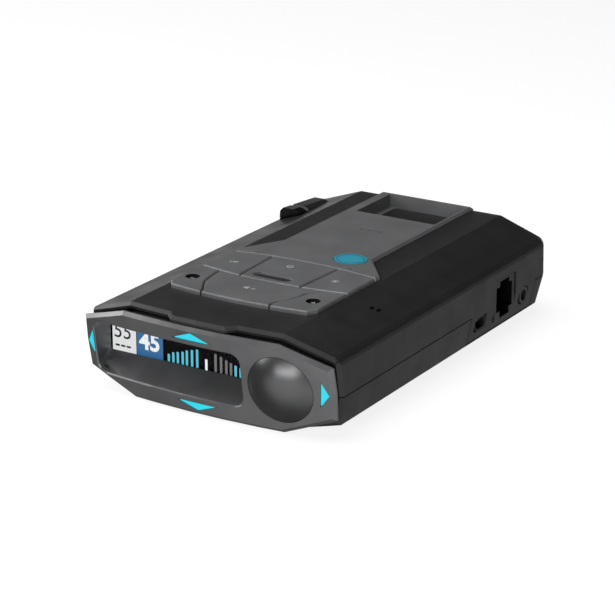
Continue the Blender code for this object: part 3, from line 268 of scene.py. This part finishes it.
GOLD = surface("gold_look", (0.80, 0.52, 0.20), 0.25, metallic=1.0, grain=0.2, depth=0.002)
RUBBER = surface("rubber_look", (0.045, 0.045, 0.048), 0.6, grain=0.15, depth=0.002)
TEAL_DARK = surface("teal_dark_look", (0.010, 0.100, 0.150), 0.4, grain=0.2, depth=0.001)
CLOTH = surface("cloth_look", (0.010, 0.010, 0.011), 0.9, grain=0.35, depth=0.08)
LABEL = surface("label_look", (0.30, 0.30, 0.31), 0.38, metallic=0.6, grain=0.2, depth=0.002)

# Looks of single nodes and pieces that differ from the rest of their slot
# Dark coated steel whose darkness is partly painted shade: it stands in for the shade on the dock plate down in
# its well and inside the USB port
DARK_STEEL_AND_SHADE = surface("dark_steel_and_shade_look", (0.030, 0.030, 0.032), 0.42, metallic=0.6, grain=0.3, depth=0.003)
DOME_LOOK = surface("dome_look", (0.105, 0.106, 0.108), 0.34, metallic=0.85, grain=0.12, depth=0.001)
# Near-black painted shade for thin sheets in the power socket, the finger dishes, the seam gaps and under the
# release slider
SHADOW = surface("shadow_look", (0.002, 0.002, 0.002), 0.6, grain=0.3, depth=0.002, Specular_IOR_Level=0.05)
NODE_LOOKS = {"dock_plate": DARK_STEEL_AND_SHADE, "usb_port": DARK_STEEL_AND_SHADE, "sensor_dome": DOME_LOOK}


def paint_nodes():
    """Give each CAD node the look of its slot in the record."""
    for part in frame["record"]["subparts"]:
        piece = frame["nodes"][part["node"]]
        for slot in piece.material_slots:
            slot.material = NODE_LOOKS.get(part["node"], MATERIALS[part["material_slot"]])


def soften_edges():
    """Small rounded edges on the outer pieces, which catch the light as moulded edges do."""
    for name in SOFT_NODES:
        piece = frame["nodes"][name]
        weld = piece.modifiers.new("Weld", "WELD")
        weld.merge_threshold = 0.00001
        dissolve = piece.modifiers.new("Dissolve", "DECIMATE")
        dissolve.decimate_type = "DISSOLVE"
        dissolve.angle_limit = math.radians(1)
        bevel = piece.modifiers.new("Edges", "BEVEL")
        bevel.width = EDGE_RADIUS * MM
        bevel.segments = 2
        bevel.limit_method = "ANGLE"
        bevel.angle_limit = math.radians(30)
        bevel.harden_normals = True


# ---------------------------------------------------------------- mesh helpers

def place(x, y, z):
    """A point of the drawing, in the frame's metres."""
    return Vector((x, y + SHIFT_Y, z)) * MM


def make_piece(name, mesh_data, material, body):
    """Finish a bmesh as a piece that rides on a body."""
    bmesh.ops.recalc_face_normals(mesh_data, faces=mesh_data.faces)
    mesh = bpy.data.meshes.new(name)
    mesh_data.to_mesh(mesh)
    mesh_data.free()
    mesh.materials.append(material)
    mesh.shade_smooth()
    mesh.set_sharp_from_angle(angle=math.radians(30))
    piece = bpy.data.objects.new(name, mesh)
    bpy.context.scene.collection.objects.link(piece)
    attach(piece, body)
    return piece


def add_prism(mesh_data, outline, axis, start, end, ends=True):
    """Add a prism: outline in (x, z) along y, (x, y) along z or (y, z) along x."""
    order = {
        "x": lambda a, b, c: place(c, a, b),
        "y": lambda a, b, c: place(a, c, b),
        "z": lambda a, b, c: place(a, b, c),
    }[axis]
    loops = [[mesh_data.verts.new(order(a, b, level)) for a, b in outline] for level in (start, end)]
    count = len(outline)
    for index in range(count):
        after = (index + 1) % count
        mesh_data.faces.new((loops[0][index], loops[0][after], loops[1][after], loops[1][index]))
    if ends:
        mesh_data.faces.new(reversed(loops[0]))
        mesh_data.faces.new(loops[1])


def prisms(name, outlines, axis, start, end, material, body="casing"):
    """One piece made of several closed prisms."""
    mesh_data = bmesh.new()
    for outline in outlines:
        add_prism(mesh_data, outline, axis, start, end)
    return make_piece(name, mesh_data, material, body)


def tube(name, outer, inner, axis, start, end, material, body="casing"):
    """Closed ring-like prism between an outer outline and an inner one with as many points."""
    mesh_data = bmesh.new()
    add_prism(mesh_data, outer, axis, start, end, ends=False)
    add_prism(mesh_data, inner, axis, start, end, ends=False)
    mesh_data.verts.ensure_lookup_table()
    count = len(outer)
    for level_start in (0, count):
        for index in range(count):
            after = (index + 1) % count
            corners = (index, after, 2 * count + after, 2 * count + index)
            mesh_data.faces.new([mesh_data.verts[level_start + corner] for corner in corners])
    return make_piece(name, mesh_data, material, body)


def rectangle(a0, a1, b0, b1):
    return [(a0, b0), (a1, b0), (a1, b1), (a0, b1)]


def rounded(a0, a1, b0, b1, radius, steps=4):
    """Rectangle with round corners."""
    points = []
    for a, b, start in ((a1 - radius, b0 + radius, -90), (a1 - radius, b1 - radius, 0),
                        (a0 + radius, b1 - radius, 90), (a0 + radius, b0 + radius, 180)):
        for step in range(steps + 1):
            turn = math.radians(start + 90.0 * step / steps)
            points.append((a + radius * math.cos(turn), b + radius * math.sin(turn)))
    return points


def arc_band(a, b, inner, outer, start, end, steps=16):
    """Part of a ring between two angles in degrees."""
    turns = [math.radians(start + (end - start) * step / steps) for step in range(steps + 1)]
    outside = [(a + outer * math.cos(turn), b + outer * math.sin(turn)) for turn in turns]
    inside = [(a + inner * math.cos(turn), b + inner * math.sin(turn)) for turn in reversed(turns)]
    return outside + inside


def disc(a, b, radius, count=20):
    turns = [2.0 * math.pi * index / count for index in range(count)]
    return [(a + radius * math.cos(turn), b + radius * math.sin(turn)) for turn in turns]


def oval(a, b, half_a, half_b, count=48):
    turns = [2.0 * math.pi * index / count for index in range(count)]
    return [(a + half_a * math.cos(turn), b + half_b * math.sin(turn)) for turn in turns]


# ---------------------------------------------------------------- display

def number(name, text, size, x, z, material, bold, y):
    """A number on the display, as thin solid figures."""
    curve = bpy.data.curves.new(name, "FONT")
    curve.body = text
    curve.size = size * MM
    curve.offset = bold * MM
    curve.extrude = MARK_HEIGHT / 2 * MM
    curve.align_x = "CENTER"
    curve.resolution_u = 6
    text_object = bpy.data.objects.new(name + "_text", curve)
    bpy.context.scene.collection.objects.link(text_object)
    bpy.context.view_layer.update()
    mesh = bpy.data.meshes.new_from_object(text_object.evaluated_get(bpy.context.evaluated_depsgraph_get()))
    bpy.data.objects.remove(text_object)
    mesh.transform(Matrix.Rotation(math.radians(90), 4, "X"))
    mesh.transform(Matrix.Translation(place(x, y, z)))
    mesh_data = bmesh.new()
    mesh_data.from_mesh(mesh)
    bmesh.ops.remove_doubles(mesh_data, verts=mesh_data.verts, dist=0.000001)
    return make_piece(name, mesh_data, material, "casing")


def build_display():
    """Tiles, figures and bars that lie on the display module, under the pane."""
    tile_y = MODULE_Y - 0.03
    front_y = MODULE_Y - 0.10
    prisms("display_tile_white", [rectangle(*WHITE_TILE)], "y", tile_y - MARK_HEIGHT, tile_y, WHITE_LIT)
    prisms("display_tile_blue", [rectangle(*BLUE_TILE)], "y", tile_y - MARK_HEIGHT, tile_y, BLUE_LIT)
    groups = (("display_bars_cyan", CYAN_BARS, BAR_LIT), ("display_bars_grey", GREY_BARS, GREY_LIT))
    for name, bars, material in groups:
        outlines = [rounded(x - BAR_WIDTH / 2, x + BAR_WIDTH / 2, BAR_BOTTOM, top, 0.12, 2)
                    for x, top in bars]
        prisms(name, outlines, "y", tile_y - MARK_HEIGHT, tile_y, material)
    number("display_limit", "55", 6.6, -34.9, 14.3, INK, 0.0, front_y)
    number("display_speed", "45", 7.3, -25.2, 12.5, DIGIT_LIT, 0.22, front_y)
    number("display_count", "1", 4.3, -5.3, 10.4, DIGIT_LIT, 0.2, front_y)
    unit = [rounded(x, x + 1.6, 11.6, 12.2, 0.25, 3) for x in (-37.6, -35.6, -33.6)]
    prisms("display_unit_mark", unit, "y", front_y - MARK_HEIGHT, front_y, INK)


# ---------------------------------------------------------------- marks on the keys and deck

def mark(name, outlines, body, top, material=PRINT):
    """Printed mark of several shapes on a flat top."""
    return prisms(name, outlines, "z", top + 0.005, top + 0.005 + MARK_HEIGHT, material, body)


def power_mark(x, y):
    """Open ring with a short line in its gap."""
    return [arc_band(x, y, 0.75, 1.05, 125, 415, 24), rectangle(x - 0.15, x + 0.15, y + 0.2, y + 1.25)]


def steps_mark(x, y):
    """Three rising bars."""
    return [rectangle(x + shift, x + shift + 0.5, y - 0.8, y - 0.8 + height)
            for shift, height in ((-1.15, 0.6), (-0.25, 1.1), (0.65, 1.6))]


def sun_mark(x, y):
    """Small sun: a disc and eight rays."""
    shapes = [disc(x, y, 0.5)]
    for index in range(8):
        turn = math.radians(45 * index)
        along = Vector((math.cos(turn), math.sin(turn)))
        across = Vector((-along.y, along.x)) * 0.11
        middle = Vector((x, y))
        corners = [middle + along * 0.8 - across, middle + along * 1.25 - across,
                   middle + along * 1.25 + across, middle + along * 0.8 + across]
        shapes.append([tuple(corner) for corner in corners])
    return shapes


def silence_mark(x, y):
    """Small loudspeaker with a cross beside it."""
    speaker = [(x - 2.0, y - 0.45), (x - 1.3, y - 0.45), (x - 0.4, y - 1.15), (x - 0.4, y + 1.15),
               (x - 1.3, y + 0.45), (x - 2.0, y + 0.45)]
    shapes = [speaker]
    for sign in (1, -1):
        shapes.append([(x + 0.4, y - 0.6 * sign), (x + 0.7, y - 0.6 * sign), (x + 1.9, y + 0.6 * sign),
                       (x + 1.6, y + 0.6 * sign)][::sign])
    return shapes


def build_marks():
    mark("sensitivity_mark", steps_mark(-18.6, 46.3), "sensitivity_key", KEY_TOP)
    mark("power_mark", power_mark(-1.7, 51.0), "power_key", KEY_TOP)
    mark("brightness_mark", sun_mark(16.7, 46.4), "brightness_key", KEY_TOP)
    mark("mute_mark", silence_mark(-1.2, 28.2), "mute_key", KEY_TOP)
    dark = [disc(-17.8, 58.4, 0.35, 12), disc(14.0, 59.3, 0.35, 12)]
    mark("light_sensor_dots", dark, "casing", DECK_TOP, INK)


# ---------------------------------------------------------------- fittings

def upright(name, outline, middles, width, material):
    """Several equal prisms along y, one round each middle."""
    mesh_data = bmesh.new()
    for middle in middles:
        add_prism(mesh_data, outline, "y", middle - width / 2, middle + width / 2)
    return make_piece(name, mesh_data, material, "casing")


def evenly(middle, pitch, count):
    """Places round a middle, one pitch apart."""
    return [middle + pitch * (index - (count - 1) / 2) for index in range(count)]


def build_socket_contacts():
    """Sheet of painted shade and sprung contacts in the power socket, and flat contacts under the USB tongue.
    """
    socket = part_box("modular_jack")
    middle_y = (socket[0].y + socket[1].y) / 2 / MM - SHIFT_Y
    middle_z = (socket[0].z + socket[1].z) / 2 / MM
    back_x = socket[0].x / MM + 3.1
    spring = [(back_x, middle_z + 1.8), (back_x, middle_z + 1.4), (back_x + 8.5, middle_z - 3.0),
              (back_x + 9.0, middle_z - 2.8)]
    upright("socket_contacts", spring, evenly(middle_y, 1.02, 6), 0.5, GOLD)
    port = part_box("usb_port")
    port_y = (port[0].y + port[1].y) / 2 / MM - SHIFT_Y
    tongue_z = (port[0].z + port[1].z) / 2 / MM + 0.1
    strip = rectangle(port[0].x / MM + 2.0, port[1].x / MM - 1.4, tongue_z - 0.08, tongue_z - 0.02)
    upright("usb_contacts", strip, evenly(port_y, 0.65, 5), 0.35, GOLD)
    # Near-black sheet of painted shade along the socket's mouth, where shade falls inside the socket
    cross = cross_outline(middle_y, middle_z, 0.03)
    tube("socket_shade_sheet", cross, cross_outline(middle_y, middle_z, 0.15), "x", back_x - 0.1,
         socket[1].x / MM - 0.25, SHADOW)


def cross_outline(y, z, inset):
    """Outline of the power socket's cross-shaped mouth, drawn in by an inset."""
    left = y - WIDE_LEFT + inset
    right = y + WIDE_RIGHT - inset
    bottom = z - WIDE_DOWN + inset
    top = z + WIDE_UP - inset
    narrow = TALL_HALF_WIDTH - inset
    tall = TALL_HALF_HEIGHT - inset
    return [(left, bottom), (y - narrow, bottom), (y - narrow, z - tall), (y + narrow, z - tall),
            (y + narrow, bottom), (right, bottom), (right, top), (y + narrow, top), (y + narrow, z + tall),
            (y - narrow, z + tall), (y - narrow, top), (left, top)]


def build_finger_slot():
    """Dark pad with fine ridges at the bottom of the power key's finger slot."""
    floor = KEY_TOP - FINGER_SLOT_DEPTH + 0.01
    pad = [(-7.6, 40.4), (-6.3, 39.1), (4.1, 39.1), (5.3, 40.4), (4.1, 41.7), (-6.3, 41.7)]
    prisms("finger_pad", [pad], "z", floor, floor + 0.14, INK, "power_key")
    ridges = [rectangle(x - 0.12, x + 0.12, 39.5, 41.3) for x in evenly(-1.1, 1.1, 9)]
    prisms("finger_ridges", ridges, "z", floor + 0.14, floor + 0.24, RUBBER, "power_key")


def lathe(name, x, y, z, profile, material, body):
    """Closed solid turned round an upright axis; the profile's first and last points lie on the axis."""
    mesh_data = bmesh.new()
    first, *between, last = profile
    poles = [mesh_data.verts.new(place(x, y, z + height)) for _, height in (first, last)]
    sides = 28
    rings = [[mesh_data.verts.new(place(a, b, z + height)) for a, b in disc(x, y, radius, sides)]
             for radius, height in between]
    for index in range(sides):
        after = (index + 1) % sides
        mesh_data.faces.new((poles[0], rings[0][after], rings[0][index]))
        mesh_data.faces.new((poles[1], rings[-1][index], rings[-1][after]))
        for lower, upper in zip(rings, rings[1:]):
            mesh_data.faces.new((lower[index], lower[after], upper[after], upper[index]))
    return make_piece(name, mesh_data, material, body)


def build_dish_marks():
    """Sheet of painted shade in the two finger dishes, with a minus and a plus."""
    floor = KEY_TOP - DISH_DEPTH + 0.01
    for name, body, (x, y) in (("volume_down", "volume_down_key", LEFT_DISH),
                               ("volume_up", "volume_up_key", RIGHT_DISH)):
        # Near-black painted shade laid over the dish's hollow
        lathe(name + "_dish_shade_sheet", x, y, KEY_TOP, DISH_SHADE_SHEET, SHADOW, body)
        shapes = [rectangle(x - 0.75, x + 0.75, y - 0.17, y + 0.17)]
        if name == "volume_up":
            shapes += [rectangle(x - 0.17, x + 0.17, y + 0.17, y + 0.75),
                       rectangle(x - 0.17, x + 0.17, y - 0.75, y - 0.17)]
        prisms(name + "_mark", shapes, "z", floor + 0.10, floor + 0.16, PRINT, body)


def build_badge_rim():
    """Thin dark line inside the badge's edge."""
    low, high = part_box("badge")
    middle_x = (low.x + high.x) / 2 / MM
    middle_y = (low.y + high.y) / 2 / MM - SHIFT_Y
    half_width = (high.x - low.x) / 2 / MM - 0.7
    half_depth = (high.y - low.y) / 2 / MM - 0.7
    outer = oval(middle_x, middle_y, half_width, half_depth)
    inner = oval(middle_x, middle_y, half_width - 0.25, half_depth - 0.25)
    level = high.z / MM
    tube("badge_line", outer, inner, "z", level + 0.005, level + 0.03, TEAL_DARK)


def build_underside():
    """Blank rating plate in its recess and cloth behind the speaker's grille."""
    prisms("rating_plate", [rounded(-1.7, 21.7, 40.3, 99.7, 1.8)], "z", 0.08, 0.28, LABEL)
    low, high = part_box("speaker")
    middle_x = (low.x + high.x) / 2 / MM
    middle_y = (low.y + high.y) / 2 / MM - SHIFT_Y
    prisms("speaker_cloth", [disc(middle_x, middle_y, 12.0, 32)], "z", 2.3, 2.6, CLOTH)


def build_lens_ring():
    """Ring round the laser lens in the far window."""
    low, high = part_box("front_lens")
    middle_x = (low.x + high.x) / 2 / MM
    middle_z = (low.z + high.z) / 2 / MM
    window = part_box("front_window")
    face_y = window[1].y / MM - SHIFT_Y
    tube("lens_ring", disc(middle_x, middle_z, 4.15, 40), disc(middle_x, middle_z, 3.75, 40), "y",
         face_y + 0.01, face_y + 0.12, MATERIALS["black_nylon"])


def build_deck_details():
    """Three short marks of painted shade on the rear deck, standing for slots."""
    slots = [rounded(x - 0.9, x + 0.9, 94.85, 95.15, 0.14, 2) for x in (-3.0, 0.0, 3.0)]
    # Flat dark marks that paint the shade inside slots
    mark("deck_slot_shade", slots, "casing", DECK_TOP, INK)


def front_offset(x, z):
    """How far the bowed and leaning front end lies behind its flat drawing."""
    return FRONT_BOW * x * x - FRONT_LEAN * (z - FACE_MIDDLE_Z)


def build_dome():
    """Smooth skin of the domed cover: a spherical cap with a short skirt, on the bowed face."""
    mesh_data = bmesh.new()
    sphere = (DOME_RADIUS ** 2 + DOME_RISE ** 2) / (2 * DOME_RISE)
    levels = [(DOME_RADIUS, DOME_SKIRT)]
    for step in range(DOME_RINGS):
        radius = DOME_RADIUS * math.cos(0.5 * math.pi * step / DOME_RINGS)
        levels.append((radius, sphere - DOME_RISE - math.sqrt(sphere ** 2 - radius ** 2)))
    loops = []
    for radius, y in levels:
        loops.append([mesh_data.verts.new(place(x, y + front_offset(x, z), z))
                      for x, z in disc(*DOME_MIDDLE, radius, DOME_SIDES)])
    x, z = DOME_MIDDLE
    tip = mesh_data.verts.new(place(x, front_offset(x, z) - DOME_RISE, z))
    for index in range(DOME_SIDES):
        after = (index + 1) % DOME_SIDES
        for outer, inner in zip(loops, loops[1:]):
            mesh_data.faces.new((outer[index], outer[after], inner[after], inner[index]))
        mesh_data.faces.new((loops[-1][index], loops[-1][after], tip))
    mesh_data.faces.new(loops[0])
    skin = make_piece("sensor_dome_skin", mesh_data, DOME_LOOK, "casing")
    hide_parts("sensor_dome")


def add_block(mesh_data, bottom, top):
    """Add a closed block between two sets of four corners."""
    lower = [mesh_data.verts.new(place(*corner)) for corner in bottom]
    upper = [mesh_data.verts.new(place(*corner)) for corner in top]
    mesh_data.faces.new(reversed(lower))
    mesh_data.faces.new(upper)
    for index in range(4):
        after = (index + 1) % 4
        mesh_data.faces.new((lower[index], lower[after], upper[after], upper[index]))


def build_slider_shade_wedge():
    """Wedge of painted shade on the shoulder under the release slider, whose tongue passes through it."""
    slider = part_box("release_slider")
    front_y = slider[0].y / MM - SHIFT_Y
    back_y = slider[1].y / MM - SHIFT_Y
    corners = [(-39.95, front_y + 0.1), (-32.7, front_y + 0.1), (-32.7, back_y + 1.2), (-39.95, back_y + 1.2)]
    bottom = []
    top = []
    for x, y in corners:
        shoulder = SHOULDER_TOP[1] - (abs(x) - SHOULDER_TOP[0]) * SHOULDER_SLOPE
        bottom.append((x, y, shoulder + 0.02))
        top.append((x, y, shoulder + 0.22 + SLIDER_TOP_SLOPE * (back_y - min(y, back_y))))
    mesh_data = bmesh.new()
    add_block(mesh_data, bottom, top)
    # Near-black painted shade where the slider shades the shoulder
    make_piece("slider_shade_wedge", mesh_data, SHADOW, "casing")


def build_seam_shade_strips():
    """Strips of painted shade in the gap between the two covers, on both sides."""
    mesh_data = bmesh.new()
    for start, end, side in ((9.0, 83.4, 1), (127.3, 131.0, 1), (9.0, 131.0, -1)):
        low, high = sorted((40.95 * side, 42.3 * side))
        add_prism(mesh_data, rectangle(low, high, start, end), "z", 12.54, 12.76)
    # Near-black painted shade inside the seam, where the covers' gap is in shade
    make_piece("seam_shade_strips", mesh_data, SHADOW, "casing")


# ---------------------------------------------------------------- stage, lights, camera

def build_stage():
    """Plain pale floor under the object. Gloss doesn't mirror it: the world below stands in for it."""
    material, tree, shader = new_material("floor_look")
    patches = spread(tree, noise(tree, 900.0), 0.0, 1.0)
    tree.links.new(tint(tree, patches, (0.24, 0.24, 0.24), (0.26, 0.26, 0.26)), shader.inputs["Base Color"])
    shader.inputs["Roughness"].default_value = 0.9
    shader.inputs["Specular IOR Level"].default_value = 0.0
    shader.inputs["Emission Color"].default_value = (1.0, 1.0, 1.0, 1.0)
    shader.inputs["Emission Strength"].default_value = 0.84
    mesh_data = bmesh.new()
    corners = [(-1, -1), (1, -1), (1, 1), (-1, 1)]
    mesh_data.faces.new([mesh_data.verts.new((x * FLOOR_HALF, y * FLOOR_HALF, -0.00002)) for x, y in corners])
    mesh = bpy.data.meshes.new("studio_floor")
    mesh_data.to_mesh(mesh)
    mesh_data.free()
    mesh.materials.append(material)
    floor = bpy.data.objects.new("studio_floor", mesh)
    bpy.context.scene.collection.objects.link(floor)
    floor.visible_glossy = False


def area_light(name, direction, distance, width, height, radiance):
    """Soft panel that faces the object from a direction."""
    light = bpy.data.lights.new(name, "AREA")
    light.shape = "RECTANGLE"
    light.size = width
    light.size_y = height
    light.energy = radiance * math.pi * width * height
    lamp = bpy.data.objects.new(name, light)
    bpy.context.scene.collection.objects.link(lamp)
    towards = Vector(direction).normalized()
    lamp.location = towards * distance
    lamp.rotation_euler = towards.to_track_quat("Z", "Y").to_euler()
    lamp.visible_camera = False


def calculate(tree, operation, first, second=0.0, third=0.0):
    """One step of arithmetic on sockets or numbers."""
    step = node(tree, "ShaderNodeMath", operation=operation)
    for socket, value in zip(step.inputs, (first, second, third)):
        if isinstance(value, (int, float)):
            socket.default_value = value
        else:
            tree.links.new(value, socket)
    return step.outputs[0]


def ramp(tree, value, start, end, low, high):
    """Smooth change from low to high as a value goes from start to end."""
    step = node(tree, "ShaderNodeMapRange", interpolation_type="SMOOTHSTEP")
    for key, number_value in (("From Min", start), ("From Max", end), ("To Min", low), ("To Max", high)):
        step.inputs[key].default_value = number_value
    tree.links.new(value, step.inputs["Value"])
    return step.outputs["Result"]


def build_world():
    """White to the eye; for light and gloss a dark studio whose floor is lit at the front and right."""
    world = bpy.data.worlds.new("studio_world")
    bpy.context.scene.world = world
    world.use_nodes = True
    world.cycles.sampling_method = "NONE"
    tree = world.node_tree
    axes = node(tree, "ShaderNodeSeparateXYZ")
    tree.links.new(node(tree, "ShaderNodeTexCoord").outputs["Generated"], axes.inputs[0])
    x, y, z = axes.outputs
    frontal = calculate(tree, "MULTIPLY_ADD", x, 0.45, calculate(tree, "MULTIPLY", y, -0.75))
    floor_light = ramp(tree, frontal, 0.08, 0.62, FLOOR_DARK, FLOOR_LIT)
    floor_light = calculate(tree, "MAXIMUM", floor_light, ramp(tree, x, 0.0, 0.4, FLOOR_DARK, FLOOR_RIGHT))
    floor_light = calculate(tree, "MULTIPLY", floor_light, ramp(tree, z, -0.95, -0.5, 0.2, 1.0))
    floor_light = calculate(tree, "MULTIPLY", floor_light, ramp(tree, z, -0.16, -0.04, 1.0, 0.0))
    level = calculate(tree, "ABSOLUTE", z)
    backwards = calculate(tree, "MULTIPLY_ADD", x, -0.6, calculate(tree, "MULTIPLY", y, 0.8))
    glow = calculate(tree, "MULTIPLY", ramp(tree, level, 0.03, 0.14, HORIZON_GLOW, 0.0),
                     ramp(tree, backwards, 0.5, 0.95, 0.0, 1.0))
    light = calculate(tree, "ADD", calculate(tree, "ADD", floor_light, glow), SKY_LEVEL)
    seen = node(tree, "ShaderNodeLightPath").outputs["Is Camera Ray"]
    tree.links.new(calculate(tree, "MAXIMUM", seen, light), tree.nodes["Background"].inputs["Strength"])
    tree.nodes["Background"].inputs["Color"].default_value = (1.0, 1.0, 1.0, 1.0)


def build_lights():
    area_light("top_panel", (-0.10, -0.12, 1.0), 0.58, 0.50, 0.40, 3.7)
    area_light("left_panel", (-0.87, -0.30, 0.46), 1.0, 0.75, 0.46, 4.9)
    area_light("front_panel", (0.14, -0.97, 0.20), 1.0, 0.70, 0.28, 6.5)
    area_light("right_panel", (0.45, -0.80, 0.42), 1.1, 0.5, 0.35, 2.5)


def build_camera():
    low, high = CAD_BOX
    aim = (Vector(low) + Vector(high)) / 2 + AIM_FROM_MIDDLE
    back = Vector((math.sin(AZIMUTH) * math.cos(ELEVATION), -math.cos(AZIMUTH) * math.cos(ELEVATION),
                   math.sin(ELEVATION)))
    right = Vector((math.cos(AZIMUTH), math.sin(AZIMUTH), 0.0))
    data = bpy.data.cameras.new("camera")
    data.sensor_width = 36.0
    data.lens = LENS
    data.clip_start = 0.01
    camera = bpy.data.objects.new("camera", data)
    bpy.context.scene.collection.objects.link(camera)
    turn = Matrix((right, back.cross(right), back)).transposed().to_4x4()
    camera.matrix_world = Matrix.Translation(aim + back * DISTANCE) @ turn
    bpy.context.scene.camera = camera


def main():
    bpy.context.scene.view_settings.view_transform = "Standard"
    build_camera()
    build_stage()
    build_world()
    build_lights()
    paint_nodes()
    soften_edges()
    build_display()
    build_marks()
    build_socket_contacts()
    build_finger_slot()
    build_dish_marks()
    build_badge_rim()
    build_underside()
    build_lens_ring()
    build_deck_details()
    build_dome()
    build_slider_shade_wedge()
    build_seam_shade_strips()


main()
